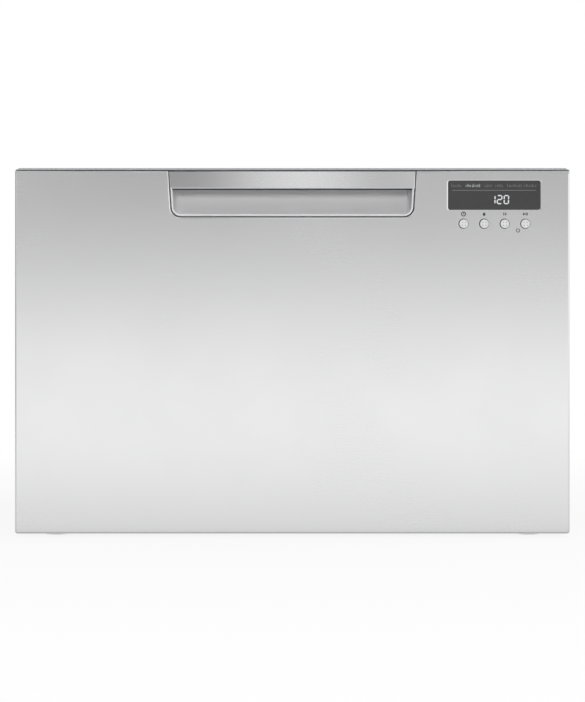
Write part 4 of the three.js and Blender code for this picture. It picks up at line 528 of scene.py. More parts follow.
def front_sheet():
    """The stainless front: flat face, rolled edges all round and round each opening."""
    (half, low, top), corner = PANEL, 3.0
    notch = recess_line(0, top)
    lower = arc(-half + corner, low + corner, corner, 180, 270) + arc(half - corner, low + corner, corner, 270, 360)
    outline = [*lower, (half, top - 4), (half, top), *notch, (-half, top), (-half, top - 4)]
    names = ["outer"] * (len(lower) + 1) + ["top"] + ["recess"] * len(notch) + ["top", "outer"]
    x, z, width, height, bend = WINDOW
    holes = [("window", rounded_rect(x, z, width / 2, height / 2, bend))]
    holes += [("button", circle(x, z, BUTTON + 0.2)) for x, z in BUTTONS]
    turned, thick = 20.0, 1.6  # depth of the turned edge behind the outline, and of the holes
    rims = [rim_rows(outline, [RIMS[name] for name in names], 1, turned)]
    rims += [rim_rows(hole, [RIMS[name]] * len(hole), -1, thick) for name, hole in holes]
    loops = [[(x, z) for x, _, z in rows[0]] for rows in rims]
    shape = Shape().add([(u, FRONT, v) for loop in loops for u, v in loop], triangles(loops))
    for rows in rims:
        shape.grid(rows, close_columns=True)
    sheet = shape.piece("skin_sheet", "skin", "stainless", "front_skin", smooth=40, weld=0.002)
    for edge in sheet.data.edges:
        if all(abs(sheet.data.vertices[i].co.y - FRONT * MM) < 1e-6 for i in edge.vertices):
            edge.use_edge_sharp = True


def hand_scoop():
    """Pressed stainless pocket: a round lip, then a floor and sides that curve up to a flat back."""
    depth, rise, side, start = 26.6, 24.0, 3.4, 2.1  # the last is how far in the lip ends
    lip = [(0, 2.6), (0, 1.3), (0.2, 0.75), (0.6, 0.48), (1.1, 0.42), (1.6, 0.55), (2.0, 0.9)]
    rows = [[(x, FRONT + y + (1.3 if z > BAR[0] + 1 else 0), z) for x, z in recess_line(GAP + drawn, BAR[1])]
            for drawn, y in lip]
    for k in range(25):
        a = k / 24 * math.pi / 2
        curl = 1 - math.cos(a)
        line = recess_line(GAP + start, BAR[1], side * curl, (rise - start) * curl)
        rows.append([(x, FRONT + 1.2 + (depth - 1.2) * math.sin(a), z) for x, z in line])
    shape = Shape().grid(rows)
    count = len(shape.verts)
    shape.faces.append(tuple(range(count - len(rows[-1]), count)))
    shape.piece("scoop_pressing", "scoop", "stainless", "handle_scoop", smooth=50)


def pull_bar():
    """Folded bar over the recess: leaning face, rounded long edges, ends that follow the recess."""
    (low, top), edge, sheet, depth, lean, lip = BAR, 0.9, 1.5, 8.4, 0.9, 3.4
    front = FRONT + 0.2
    section = arc(front + edge, low + edge, edge, 270, 180) + [(front + 0.02, low + edge + 0.4)]
    section += [(front + lean - 0.02, top - 0.75)] + arc(front + lean + 0.35, top - 0.35, 0.35, 180, 90)
    section += [(front + depth, top), (front + depth, top - sheet), (front + lean + sheet, top - sheet),
                (front + sheet, low + sheet), (front + depth - 1.1, low + sheet), (front + depth - 1.1, low + lip),
                (front + depth, low + lip), (front + depth, low)]
    rings = []
    for sign, gap, back in ((-1, 1.15, 0), (1, 1.75, 0), (1, 1.15, 0.4)):
        ring = []
        for y, z in section:
            share = (z - RECESS["floor"]) / (PANEL[2] - RECESS["floor"])
            half = RECESS["low"] + (RECESS["top"] - RECESS["low"]) * share - gap
            ring.append((sign * half, y + (back if y < FRONT + 2.2 else 0), z))
        rings.append(ring)
    Shape().loft(rings).piece("pull_bar", "bar", "brushed_bar", "handle_bar", smooth=30)
    roof = 396.6  # upper edge of the dark strip in the joint over the bar
    # dark rubber strips in the joint over the bar, under its lower edge and beside its ends: painted shade in those
    # joints
    strip = rounded_rect(0, (top + roof) / 2, 133.0, (roof - top) / 2, 0.3, 2)
    shade_strip = Shape().prism(strip, FRONT + 3.0, FRONT + 8.0)
    shade_strip.box((-130.6, 130.6), (FRONT + 1.6, FRONT + 7.6), (low - 0.9, low + 0.2))
    for sign in (-1, 1):
        shade_strip.box((sign * 131.6, sign * 133.8), (FRONT + 2.2, FRONT + 8.0), (low + 1.5, top))
    shade_strip.piece("bar_shade_strip", "rubber", "rubber")


def plate(centre, half, corner, y, edge, shrink=0.5):
    """Rings of an upright plate with a shaped edge, given as pairs of drawn in and depth behind y."""
    rings = []
    for drawn, depth in edge:
        outline = rounded_rect(*centre, half[0] - drawn, half[1] - drawn, corner - drawn * shrink)
        rings.append([(u, y + depth, v) for u, v in outline])
    return rings


def display():
    """Smoked window with its marks: a row of short strokes, a line and a plain number."""
    x, z, width, height, corner = WINDOW
    edge = ((0.9, 0.52), (0.3, 0.56), (0.05, 0.7), (0, 0.95), (0, 1.7), (-0.6, 1.75), (-0.6, 2.6))
    pane = Shape().loft(plate((x, z), (width / 2 - 0.7, height / 2 - 0.7), corner, FRONT, edge))
    pane.piece("window_pane", "window", "window_dark", "display_window", smooth=30)
    left = x - width / 2
    dim, lit, digits = Shape(), Shape(), Shape()
    words = [(3.9, 15.9), (19.2, 36.0), (39.5, 47.0), (51.2, 59.6), (64.1, 80.5), (82.4, 95.7)]
    for i, (start, end) in enumerate(words):
        strokes(lit if i == 1 else dim, left + start, left + end, z + 10.4, i * 3)
    mark(dim, rect(left + 4.6, z + 5.0, left + 95.0, z + 5.65))
    for digit, at, wide in (("1", 213.2, 6.0), ("2", 220.5, 6.0), ("0", 227.9, 5.9)):
        seven_segments(digits, digit, at, z - 9.7, wide, 10.0)
    for name, look, shape in (("dim_marks", "dim", dim), ("lit_digits", "lit", digits), ("lit_marks", "word", lit)):
        shape.piece(name, look, smooth=30)


def mark(shape, outline):
    """A thin printed mark behind the window's face."""
    shape.prism(outline, FRONT + GLASS, FRONT + GLASS + MARK)


def strokes(shape, at, end, z, k):
    """A bare stand-in for a printed word: upright strokes of two heights, some joined at the foot."""
    foot = z - 1.5
    while at < end - 0.5:
        mark(shape, rect(at, foot, at + 0.45, foot + (3.2 if k % 4 == 0 else 2.2)))
        if k % 3 == 1:
            height = foot if k % 2 else z + 0.3
            mark(shape, rect(at + 0.45, height, at + 1.5, height + 0.4))
        at += 1.5 if k % 3 else 1.9
        k += 1


DIGITS = {"0": "abcdef", "1": "bc", "2": "abged"}
SEGMENTS = {  # where each starts and ends: column, row, column, row among a digit's six corners
    "a": (0, 2, 1, 2), "b": (1, 1, 1, 2), "c": (1, 0, 1, 1), "d": (0, 0, 1, 0), "e": (0, 0, 0, 1), "f": (0, 1, 0, 2),
    "g": (0, 1, 1, 1),
}


def seven_segments(shape, digit, x, z, width, height):
    """One lit digit out of bars with pointed ends."""
    t, gap, slant = 0.62, 0.22, 0.03
    columns, rows = (t, width - t), (t, height / 2, height - t)
    for name in DIGITS[digit]:
        start_u, start_v, end_u, end_v = SEGMENTS[name]
        a, b = Vector((columns[start_u], rows[start_v])), Vector((columns[end_u], rows[end_v]))
        along = (b - a).normalized() * t
        across = Vector((-along.y, along.x))
        a, b = a + along * (gap / t), b - along * (gap / t)
        ends = [a, a + along - across, b - along - across, b, b - along + across, a + along + across]
        mark(shape, [(x + p.x + p.y * slant, z + p.y) for p in ends])


def buttons():
    """Four round caps with a fine dished face and four faint dimples painted darker as shade, each on a dark skirt
    that paints the shade of the gap round it.
    """
    r = BUTTON
    cap = [(0.01, 0.36), (r * 0.35, 0.33), (r * 0.6, 0.24), (r * 0.72, 0.16), (r - 1.2, 0.14), (r - 0.9, 0.24),
           (r - 0.55, 0.45), (r - 0.45, 0.8), (r - 0.45, 3.0), (0.01, 3.1)]
    # the skirt is dark plastic behind the gap round each cap: painted shade in that gap
    shade_skirt = [(0.01, 1.9), (r - 0.1, 1.9), (r + 0.9, 2.1), (r + 0.9, 4.3), (2.9, 4.4), (2.9, 5.6), (0.01, 5.6)]
    # the dimples take a darker plastic: painted shade in them
    dimple = [(0.01, 0.27), (0.4, 0.25), (0.55, 0.21), (0.62, 0.26), (0.62, 0.5)]
    for i, (x, z) in enumerate(BUTTONS, 1):
        u, v = x + 0.42, z - 0.06  # the caps sit a little to the right in their holes
        dimples = Shape()
        for du, dv in ((-1.6, -1.6), (-1.6, 1.6), (1.6, -1.6), (1.6, 1.6)):
            dimples.lathe(dimple, (u + du, FRONT, v + dv), "y", 16)
        for shape, name, look, slot, node in (
            (Shape().lathe(cap, (u, FRONT, v), "y", 64), "cap", "silver", "silver_plastic", f"button_{i}"),
            (Shape().lathe(shade_skirt, (x, FRONT, z), "y", 40), "shade_skirt", "black", "tray_black", None),
            (dimples, "dimples", "dimple", "silver_plastic", None),
        ):
            shape.piece(f"button_{name}_{i}", look, slot, node, f"button_{i}_body", smooth=38)


def icons():
    """Grey print on the sheet over the buttons: clock, drop, two arrowheads, play and pause, and a ring."""
    shape, z, face = Shape(), 349.3, (FRONT - 0.02, FRONT + 0.02)
    clock, drop, arrows, play = (x for x, _ in BUTTONS)
    power = (play - 7.8, BUTTONS[3][1] - 7.2)
    hands = [(-0.35, -0.35), (1.0, -0.35), (1.0, 0.3), (0.35, 0.3), (0.35, 1.4), (-0.35, 1.4)]
    head, bar = [(0, 1.5), (1.0, 1.5), (1.9, 0), (1.0, -1.5), (0, -1.5), (0.8, 0)], rect(0, -1.5, 0.95, 1.5)
    shape.prism(circle(clock, z, 2.65), *face, holes=[circle(clock, z, 1.7)])
    for x, y, outline in (
        (clock, z, hands), (drop, z, [(0, 2.1), *arc(0, -0.5, 1.5, 140, 400, 20)]),
        (arrows - 1.9, z, head), (arrows + 0.2, z, head),
        (play, z, [(-2.4, -1.7), (0.2, 0), (-2.4, 1.7)]), (play + 0.4, z, bar), (play + 1.7, z, bar),
        (*power, [*arc(0, 0, 2.2, 118, 422, 30), *arc(0, 0, 1.45, 422, 118, 30)]),
        (*power, rect(-0.25, 0.2, 0.25, 2.4)),
    ):
        shape.prism([(x + u, y + v) for u, v in outline], *face)
    shape.piece("front_print", "ink", smooth=30)


# ---------- the tub and what stands in it
TUB = {"half": 266.0, "length": 216.25, "floor": 62.0, "rim": 350.0, "wall": 2.5, "corner": 40.0, "bend": 22.0,
       "draft": 0.026186}
SUMP = {"radius": 95.0, "floor": 46.0, "mouth": 33.0}
RACK = {"inner": 6.0, "outer": 250.4, "front": -193.9, "back": 174.4, "cross": 99.8, "along": 102.05, "rim": 154.0,
        "hinge": 250.0}
CROSS = [-163.9, -86.8, -9.75, 67.3, 144.4]  # places of the heavier wires across the tub
ALONG = [46.0, 128.2, 210.4]  # and of those along it
HEAVY, LIGHT = 1.8, 1.45  # the wires' radii
TINES = [CROSS[0] + (k + 0.5) * 38.54 for k in range(8)]  # places of the tines along their row
TINE_Z = 109.0  # height of the wire that they stand on
TINE_ROWS = (-178.4, -94.0)  # the two folding rows in the left rack
FILTER_Z = 64.0  # the filter plate's upper face
DRAIN = (0.0, TUB_MID + 56.0, 23.5)  # centre and radius of the round filter
DISPENSER = {"x": (-78.0, 72.0), "z": (206.0, 282.0), "face": -210.73}
FAN = (196.0, 154.16, 18.0)  # centre x and z, radius
THROUGH = (-232, -205)  # from before the tub's front wall to behind it


def middles(stops):
    return [(a + b) / 2 for a, b in zip(stops, stops[1:])]


def tub_ring(z, inset):
    """Line round the tub at a height, drawn in from its outer face."""
    drawn = (TUB["rim"] - z) * TUB["draft"] + inset
    corner = max(TUB["corner"] - inset, 4)
    return [(u, v, z) for u, v in rounded_rect(0, TUB_MID, TUB["half"] - drawn, TUB["length"] - drawn, corner, 10)]


def tub_curve(low, inset, degrees):
    """Rings of the curve between the tub's floor and its walls."""
    angles, radius = [math.radians(d) for d in degrees], TUB["bend"] - inset
    return [tub_ring(low + radius * (1 - math.cos(a)), inset + radius * (1 - math.sin(a))) for a in angles]


def tub():
    """Moulded tub: flanged rim, a bead under it, rounded floor and a round sump with the pump's mouth."""
    floor, rim, wall = TUB["floor"], TUB["rim"], TUB["wall"]
    edge = [(-4, 0), (-4, -7.2), (-3.7, -7.8), (-3, -8), (-1, -8), (-0.3, -7.7), (0, -6.9), (0, 1.3), (-0.4, 2.1),
            (-1.3, wall), (-15, wall), (-16, wall + 0.8), (-19, wall + 0.8), (-20, wall)]
    rows = tub_curve(floor, 0, range(0, 91, 15)) + [tub_ring(rim + z, inset) for z, inset in edge]
    rows += tub_curve(floor + wall, wall, range(90, -1, -15))
    outer, base, mouth = SUMP["radius"], SUMP["floor"], SUMP["mouth"]
    inner, low = outer - wall, base + wall
    profile = [(outer, floor), (outer, base + 4), (outer - 4, base), (mouth, base), (mouth, low), (inner - 6, low),
               (inner - 2, low + 1.5), (inner, low + 5), (inner, floor - 1), (inner + 0.8, floor + 1.6),
               (inner + 2.8, floor + wall)]
    rings = [[(u, v, z) for u, v in circle(0, TUB_MID, r, 64)] for r, z in profile]
    shape = Shape().grid(rows, close_columns=True).grid(rings, close_columns=True)
    shape.sheet(rows[0], rings[0]).sheet(rows[-1], rings[-1])
    fan_hole = Shape().lathe(pin(FAN[2] + 0.3, *THROUGH), (FAN[0], 0, FAN[1]), "y", 40)
    cuts = [Shape().box(DISPENSER["x"], THROUGH, DISPENSER["z"]), fan_hole]
    shape.piece("tub_shell", "tub", "tub_grey", "tub", weld=0.002, cuts=cuts)


def tub_supports():
    """Ribbed ledges for the runners, bosses towards the front and ribs under the floor."""
    shape = Shape()
    first, last, low, high = -214.0, 194.5, 207.1, 244.9
    inner, web, outer = 258, 274, 276.7  # a ledge's inner edge, and its upright's two faces
    bay = (last - first) / 4
    for sign in (-1, 1):
        shape.box((sign * inner, sign * outer), (first, last), (low, low + 3))
        shape.box((sign * web, sign * outer), (first, last), (low, high))
        for k in range(9):  # thick ribs and thin, lower ones in turn
            y = first + k * bay / 2
            half, drop = (1.2, 4) if k % 2 else (4, 0)
            ends = (max(y - half, first), min(y + half, last))
            shape.box((sign * (inner + 2), sign * (web + 1)), ends, (low + 1, high - drop))
        for z in (134.0, 315.4):
            shape.lathe([(3.4, -235.7), (8.6, -235.7), (9.0, -235.2), (9.0, -218)], (sign * 236, 0, z), "y", 28)
    for y in (TUB_MID - 70, TUB_MID + 70):
        shape.box((-230, 230), (y - 1.5, y + 1.5), (57, 62.5))
    shape.piece("tub_supports", "tub", "tub_grey", bevel=0.4)


def rack(side):
    """Welded wire basket with a hinge wire for the cup shelf; side is -1 on the left, 1 on the right."""
    name = "rack_left" if side < 0 else "rack_right"
    inner, outer, front, back = side * RACK["inner"], side * RACK["outer"], RACK["front"], RACK["back"]
    rim, hinge, cross, along = RACK["rim"], RACK["hinge"], RACK["cross"], RACK["along"]
    wires, shoes = Shape(), Shape()
    for y in CROSS + middles(CROSS):
        top, radius = (hinge, HEAVY) if y in CROSS else (rim, LIGHT)
        wires.tube([(inner, y, rim), (inner, y, cross), (outer, y, cross), (outer, y, top)], radius, bend=9)
    for stop in ALONG + middles(ALONG) + middles(middles(ALONG)):
        x, radius = side * stop, HEAVY if stop in ALONG else LIGHT
        wires.tube([(x, front, rim), (x, front, along), (x, back, along), (x, back, rim)], radius, bend=9)
    middle = ((inner + outer) / 2, (front + back) / 2)
    half_x, half_y = (RACK["outer"] - RACK["inner"]) / 2, (back - front) / 2
    for z, drawn, corner, radius, sides in ((rim, 0, 14, 2.3, 12), (127, 3, 12, LIGHT, 10)):
        loop = rounded_rect(*middle, half_x - drawn, half_y - drawn, corner, 6)
        wires.tube([(u, v, z) for u, v in loop], radius, sides, closed=True)
    wires.tube([(outer, CROSS[0] - 12, hinge), (outer, CROSS[4] + 12, hinge)], 2.0, 12)
    wires.tube([(outer, CROSS[0], 205), (outer, CROSS[4], 205)], LIGHT)
    shoe = [(0.01, 64.95), (2.6, 64.95), (3.2, 65.6), (3.2, 73), (2.6, 75), (1.6, 75.4)]
    for x in (side * (RACK["inner"] + 22), side * (RACK["outer"] - 22)):
        for y, foot in ((front, front + 3), (back, back - 3)):
            wires.tube([(x, y, rim), (x, y, 98), (x, foot, 66)], HEAVY, bend=6)
            shoes.lathe(shoe, (x, foot, 0), "z", 18)
    if side > 0:
        fixed_tines(wires, 158.4)
    else:
        for x in TINE_ROWS:
            for y in CROSS[::2]:
                clip = rounded_rect(x, 106.6, 4.2, 6.6, 2.0, 4)
                shoes.prism(clip, y - 3, y + 3, holes=[circle(x, TINE_Z, 2.6, 20)])
    wires.piece(f"{name}_wires", "wire", "rack_coat", name, smooth=45)
    shoes.piece(f"{name}_plastics", "dark", "basket_grey", bevel=0.25)


def fixed_tines(shape, x):
    """A tine row welded into the right rack."""
    tine_row(shape, x, 43.0, 2.2)
    for y in (CROSS[0], CROSS[4]):
        shape.tube([(x, y, RACK["cross"]), (x, y, TINE_Z)], 1.6)


def tine_row(shape, x, length, radius):
    """A wire along the rack with eight upright ones, which have thicker dipped tips."""
    shape.tube([(x, CROSS[0] - 8, TINE_Z), (x, CROSS[4] + 8, TINE_Z)], radius, 12)
    top = TINE_Z + length
    profile = [(1.6, TINE_Z), (1.6, top - 7), (1.85, top - 5), (1.85, top - 1.8), (1.3, top - 0.4), (0.01, top)]
    for y in TINES:
        shape.lathe(profile, (x, y, 0), "z", 12)


def tine_rows():
    """The folding tine rows of the left rack."""
    for number, x in enumerate(TINE_ROWS, 1):
        shape, name = Shape(), f"tine_row_{number}"
        tine_row(shape, x, 62.0, 1.95)
        shape.piece(f"{name}_wires", "wire", "rack_coat", name, f"tines_{number}", smooth=45)


def cup_shelf(side):
    """Wire frame with dipped slats, on two snap-in hinges."""
    end = "left" if side < 0 else "right"
    name, body = f"cup_shelf_{end}", f"shelf_{end}"
    hinge, z = RACK["outer"], RACK["hinge"]
    near, far, half = hinge - 11, hinge - 86, 150.0
    wires, lugs = Shape(), Shape()
    loop = rounded_rect((near + far) / 2, TUB_MID, (near - far) / 2, half, 12, 6)
    wires.tube([(side * u, v, z) for u, v in loop], 2.1, 12, closed=True)
    for k in range(1, 8):
        y = TUB_MID - half + k * half / 4
        dipped = ((near, 0), (near - 9, 3.6), (far + 12, 3.6), (far, 0))
        wires.tube([(side * x, y, z - dip) for x, dip in dipped], 1.5, bend=5)
    wires.piece(f"{name}_wires", "wire", "rack_coat", name, body, smooth=45)
    for y in (-125.4, 105.9):
        outline = rounded_rect(side * (hinge - 4.05), z, 8.95, 4.9, 4.2, 5)
        lugs.prism(outline, y - 7, y + 7, holes=[circle(side * hinge, z, 2.7, 20)])
    lugs.piece(f"{name}_lugs", "dark", "basket_grey", body=body, bevel=0.4)


def cutlery_basket():
    """Slatted basket in three bays with a bow handle."""
    x, y, base, tall, half_x, half_y = 58.0, TUB_MID, 104.15, 108.0, 34.0, 108.0
    shape = Shape()
    for low, high, wall in ((0.0, 11.0, 2.0), (50.0, 54.0, 1.8), (tall - 15, tall - 3, 2.0), (tall - 3, tall, 2.6)):
        rows = []
        for z, drawn in ((low, 0), (high, 0), (high, wall), (low, wall)):
            taper = 3 * (1 - min(z / (tall - 8), 1))
            outline = rounded_rect(x, y, half_x - taper - drawn, half_y - taper - drawn, 9 - drawn, 6)
            rows.append([(u, v, base + z) for u, v in outline])
        shape.grid(rows, close_rows=True, close_columns=True)
    low, high, foot, head = base + 9, base + tall - 12, 3.6, 1.1  # slats lean out, as the basket widens
    for sign in (-1, 1):
        for k in range(21):
            v = y + (k - 10) * 9.6
            slat(shape, [(x + sign * (half_x - d), v) for d in (foot, head)], (0.85, 1.5), (low, high))
        for k in range(6):
            u = x + (k - 2.5) * 9.6
            slat(shape, [(u, y + sign * (half_y - d)) for d in (foot, head)], (1.5, 0.85), (low, high))
        divider(shape, x, y + sign * half_y / 3, base)
    slots = [rounded_rect(x + dx, y + (k - 6) * 15, 11.5, 4.2, 2, 3) for k in range(13) for dx in (-14, 14)]
    shape.prism(rounded_rect(x, y, half_x - 4, half_y - 4, 6, 6), base, base + 2, "xy", slots)
    bow = ((-36, 84), (-30, 130.5), (30, 130.5), (36, 84))
    shape.tube([(x, y + v, base + z) for v, z in bow], 3.2, 14, bend=16)
    shape.piece("cutlery_slats", "dark", "basket_grey", "cutlery_basket", smooth=40, bevel=0.25)


def slat(shape, places, half, heights):
    """Upright bar whose foot and head may stand at different places."""
    corners = [(u + i * half[0], v + j * half[1], z) for (u, v), z in zip(places, heights)
               for j in (-1, 1) for i in (-1, 1)]
    shape.add(corners, BOX_FACES)


def divider(shape, x, y, base):
    """Slotted wall between two bays of the basket."""
    holes = [rounded_rect(x + (k - 2) * 11, base + 50, 3.6, 34, 3, 4) for k in range(5)]
    shape.prism(rounded_rect(x, base + 48.5, 31.5, 47.5, 3, 4), y - 1, y + 1, holes=holes)


# ---------- wash gear
def spray_arm():
    """Swept hollow arm: oval section, raised jets along the top, hub round the post."""
    reach, z = 172.0, 79.0
    arm, holes = Shape(), Shape()

    def sweep(x):
        return TUB_MID + 6 * math.sin(x / reach * math.pi / 2)

    rings = []
    for k in range(49):
        x = -reach * math.cos(math.pi * k / 48)
        share = abs(x) / reach
        end = math.sqrt(max(1 - (max(share - 0.93, 0) / 0.07) ** 2, 0.004))
        wide, high = (18 - 7 * share) * end, 5 * (1 - 0.2 * share) * end
        oval = [(u, v if v > 0 else v * 0.75) for u, v in circle(0, 0, 1, 28)]  # flatter below
        rings.append([(x, sweep(x) + wide * u, z + high * v) for u, v in oval])
    arm.loft(rings)
    hub = [(6.5, 72), (16.3, 72), (17, 72.8), (17, 82), (15.8, 84.2), (12, 85.7), (8, 86), (6.5, 86)]
    arm.lathe(hub, (0, TUB_MID, 0), ring=True)
    jet = [(4.2, -1.5), (3.5, 0.7), (2.6, 1.2), (2.0, 0.8), (1.7, 0.2), (0.01, 0.1)]
    for share in (0.28, 0.42, 0.56, 0.7, 0.84, 0.92):
        for x in (-share * reach, share * reach):
            at = (x, sweep(x), z + 5 * (1 - 0.2 * share))
            arm.lathe(jet, at, "z", 20)
            # a black disc in each jet's mouth: painted shade for the hole
            holes.lathe([(0.01, 0.05), (1.7, 0.05), (1.6, 0.25), (0.01, 0.25)], at, "z", 16)
    arm.piece("spray_wings", "arm", "basket_grey", "spray_arm", "spray", smooth=40)
    holes.piece("spray_jet_shades", "black", "basket_grey", body="spray", smooth=40)


def filter_plate():
    """Fine sheet with rings of slots and a raised edge, and the spray arm's post."""
    at = (0, TUB_MID, 0)
    holes = [circle(DRAIN[0], DRAIN[1], DRAIN[2] + 1.0)]
    for low, high, count in ((21.0, 29.0, 24), (50.0, 62.0, 60), (66.0, 80.0, 72)):
        for k in range(count):
            a = 2 * math.pi * (k + 0.5) / count
            u, v = Vector((math.cos(a), math.sin(a))), Vector((-math.sin(a), math.cos(a))) * 1.1
            corners = [(p.x, p.y + TUB_MID) for p in (u * low - v, u * high - v, u * high + v, u * low + v)]
            if all(math.dist(corner, DRAIN[:2]) > DRAIN[2] + 4 for corner in corners):
                holes.append(corners)
    shape = Shape().prism(circle(0, TUB_MID, 86.2, 72), FILTER_Z - 1.2, FILTER_Z, "xy", holes)
    shape.lathe([(85.5, 62.0), (91.4, 66.0), (91.3, 66.4), (90.6, 66.5), (85.6, 64.0)], at, "z", 72, ring=True)
    for x in (-72, 72):
        shape.lathe(pin(4, 48.8, 63), (x, TUB_MID, 0), "z", 20)
    shape.piece("filter_sheet", "sheet", "filter_steel", "filter_plate")
    post = [(0.01, 62.2), (15.5, 62.2), (15.5, 65.5), (14, 67), (12, 71), (11, 71.4), (6, 71.4), (6, 86), (5.2, 87),
            (0.01, 87)]
    Shape().lathe(post, at, "z", 40).piece("spray_post", "dark", "basket_grey")


def drain_filter():
    """Round filter: a cup with a rolled rim, studs round it and a grip across it."""
    x, y, r = DRAIN
    cup = [(0.01, 49.5), (r - 5, 49.5), (r - 3, 51), (r - 1.6, 60), (r - 0.6, 65), (r - 0.6, 67.2), (r - 1.4, 68),
           (r - 3.4, 68), (r - 4.4, 67), (r - 5, 64), (0.01, 63)]
    shape = Shape().lathe(cup, (x, y, 0))
    shape.prism(rounded_rect(x, y, r - 6.8, 2.1, 1.6, 5), 62.5, 71, "xy")
    for u, v in circle(x, y, r - 2.4, 12):
        shape.lathe([(0.01, 66), (1.2, 66), (1.2, 68.3), (0.01, 68.4)], (u, v, 0), "z", 12)
    shape.piece("round_filter", "arm", "basket_grey", "drain_filter", "round_filter", bevel=0.3)


def soap_door():
    """The dispenser's door with a raised frame, a thumb latch and its hinge."""
    y = DISPENSER["face"] + 0.4
    x0, x1, z0, z1 = -71.0, 9.0, 217.0, 276.0
    x, z = (x0 + x1) / 2, (z0 + z1) / 2
    edge = ((0, 0), (0, 1.6), (0.4, 2.2), (1.0, 2.5), (4.0, 2.5), (4.8, 1.9), (6.5, 1.7))
    door = Shape().loft(plate((x, z), ((x1 - x0) / 2, (z1 - z0) / 2), 7, y, edge, 0.6))
    door.prism(rounded_rect(x, z1 - 8, 10, 2.6, 2.4, 5), y + 1.2, y + 5.6)
    for k in range(5):
        door.box((x - 20 + k * 9, x - 15 + k * 9), (y + 1.5, y + 2.3), (z0 + 8, z0 + 9.2))
    door.box((-48, -14), (y, y + 2.3), (212.6, 221))
    for radius, start, end, sides in ((2.4, -48, -14, 24), (1.0, -56, -6, 14)):
        door.lathe(pin(radius, start, end), (0, -207.93, 213.0), "x", sides)
    door.piece("soap_door_leaf", "silver", "silver_plastic", "dispenser_door", "soap_door", bevel=0.3)


def rinse_cap():
    """The rinse-aid cap with its grip and ribs round it."""
    x, y, z = 44.0, DISPENSER["face"], 244.0
    dial = [(0.01, -2.2), (18.4, -2.2), (19, -1.4), (19, 1.2), (18.2, 2.2), (16.4, 2.5), (15.6, 2.0), (0.01, 1.8)]
    cap = Shape().lathe(dial, (x, y, z), "y", 56)
    cap.prism(rounded_rect(x, z, 14.6, 2.3, 2.2, 6), y + 1.5, y + 6.4)
    for u, v in circle(x, z, 18.3, 24):
        cap.lathe(pin(0.7, -1.2, 2.0), (u, y, v), "y", 8)
    cap.piece("rinse_cap_dial", "blue", "cap_blue", "rinse_aid_cap", "rinse_cap", bevel=0.25)


def ribbed(points, radius, bend):
    """Corrugated hose along points."""
    pitch, depth, parts = 4.2, 0.9, 6  # parts of a rib's length
    line = rounded_line(points, bend, steps=10)
    walked, places = 0.0, []
    for a, b in zip(line, line[1:]):
        length = (b - a).length
        while walked <= length:
            places.append(a + (b - a) * (walked / length))
            walked += pitch / parts
        walked -= length
    radii = [radius - depth * (0.5 + 0.5 * math.cos(2 * math.pi * k / parts)) for k in range(len(places))]
    return Shape().tube(places, radius, 20, radii=radii)


def hoses():
    """The drain hoses at the drawer and at the back, the latter with its spigot and clip."""
    line = [(-64.3, 4.25, 30.6), (-88, 4.25, 30.6), (-128, 30, 41), (-192, 84, 50), (-200, 112, 51), (-200, 136.8, 51)]
    ribbed(line, 6.9, 24).piece("front_hose", "hose", "hose_grey", "front_drain_hose", smooth=60)
    line = [(-200, 224.5, 28.4), (-200, 224.5, 44), (-190, 240, 49.5), (-170, 252, 50), (-170, 269, 50)]
    spigot = [(6.5, 268.5), (12.4, 268.5), (13, 269.2), (13, 273), (12.4, 273.5), (9.5, 273.6), (9.5, 279),
              (10.8, 280), (9.3, 285.4), (8.6, 285.5), (6.5, 285.5)]
    rear = ribbed(line, 7.8, 12).lathe(spigot, (-170.0, 0, 50.0), "y", 32, ring=True)
    rear.box((-175, -165), (256.5, 264.5), (11.8, 46))
    rear.piece("rear_hose", "hose", "hose_grey", "rear_drain_hose", "chassis", smooth=60)


# ---------- small things on the chassis
FOOT_X = {"left": -259.7, "right": 259.7}
FOOT_Y = {"front": -228.0, "rear": 251.4}


def foot(end, side):
    """A threaded stud on a ribbed rubber pad."""
    name, x, y = f"foot_{end}_{side}", FOOT_X[side], FOOT_Y[end]
    profile = [(0.01, 0), (18.6, 0), (20, 1.2), (20, 3.0), (18.6, 4.1), (6.5, 4.15), (0.01, 4.15)]
    pad = Shape().lathe(profile, (x, y, 0))
    for u, v in circle(x, y, 19.3, 24):
        pad.lathe(pin(0.8, 0.6, 3.4), (u, v, 0), "z", 8)
    pad.piece(f"{name}_pad", "rubber", "rubber", name, f"{name}_body")
    thread = [(radius, height + k * 1.5) for k in range(22) for radius, height in ((5.2, 4.0), (5.9, 4.75))]
    stud = Shape().lathe([(0.01, 3.9), *thread, (5.2, 37.2), (4.6, 38), (0.01, 38)], (x, y, 0), "z", 28)
    stud.piece(f"{name}_stud", "runner", body=f"{name}_body", smooth=60)


def base_ribs():
    """Low moulded ribs under the base tray: a frame, a grid and a ring round each foot."""
    shape = Shape()
    low, high = 3.4, 5.05
    shape.prism(rounded_rect(0, 11.7, 290, 267, 8, 4), low, high, "xy", [rounded_rect(0, 11.7, 288, 265, 7, 4)])
    for x in range(-168, 169, 84):
        shape.box((x - 1, x + 1), (-253.5, 276.8), (low + 0.2, high))
    for y in range(-160, 185, 86):
        shape.box((-288.2, 288.2), (y - 1, y + 1), (low + 0.2, high))
    for x in FOOT_X.values():
        for y in FOOT_Y.values():
            shape.lathe([(22.6, low), (24.4, low), (24.4, high), (22.6, high)], (x, y, 0), ring=True)
    shape.piece("base_ribs", "black", "tray_black", body="chassis", bevel=0.3)


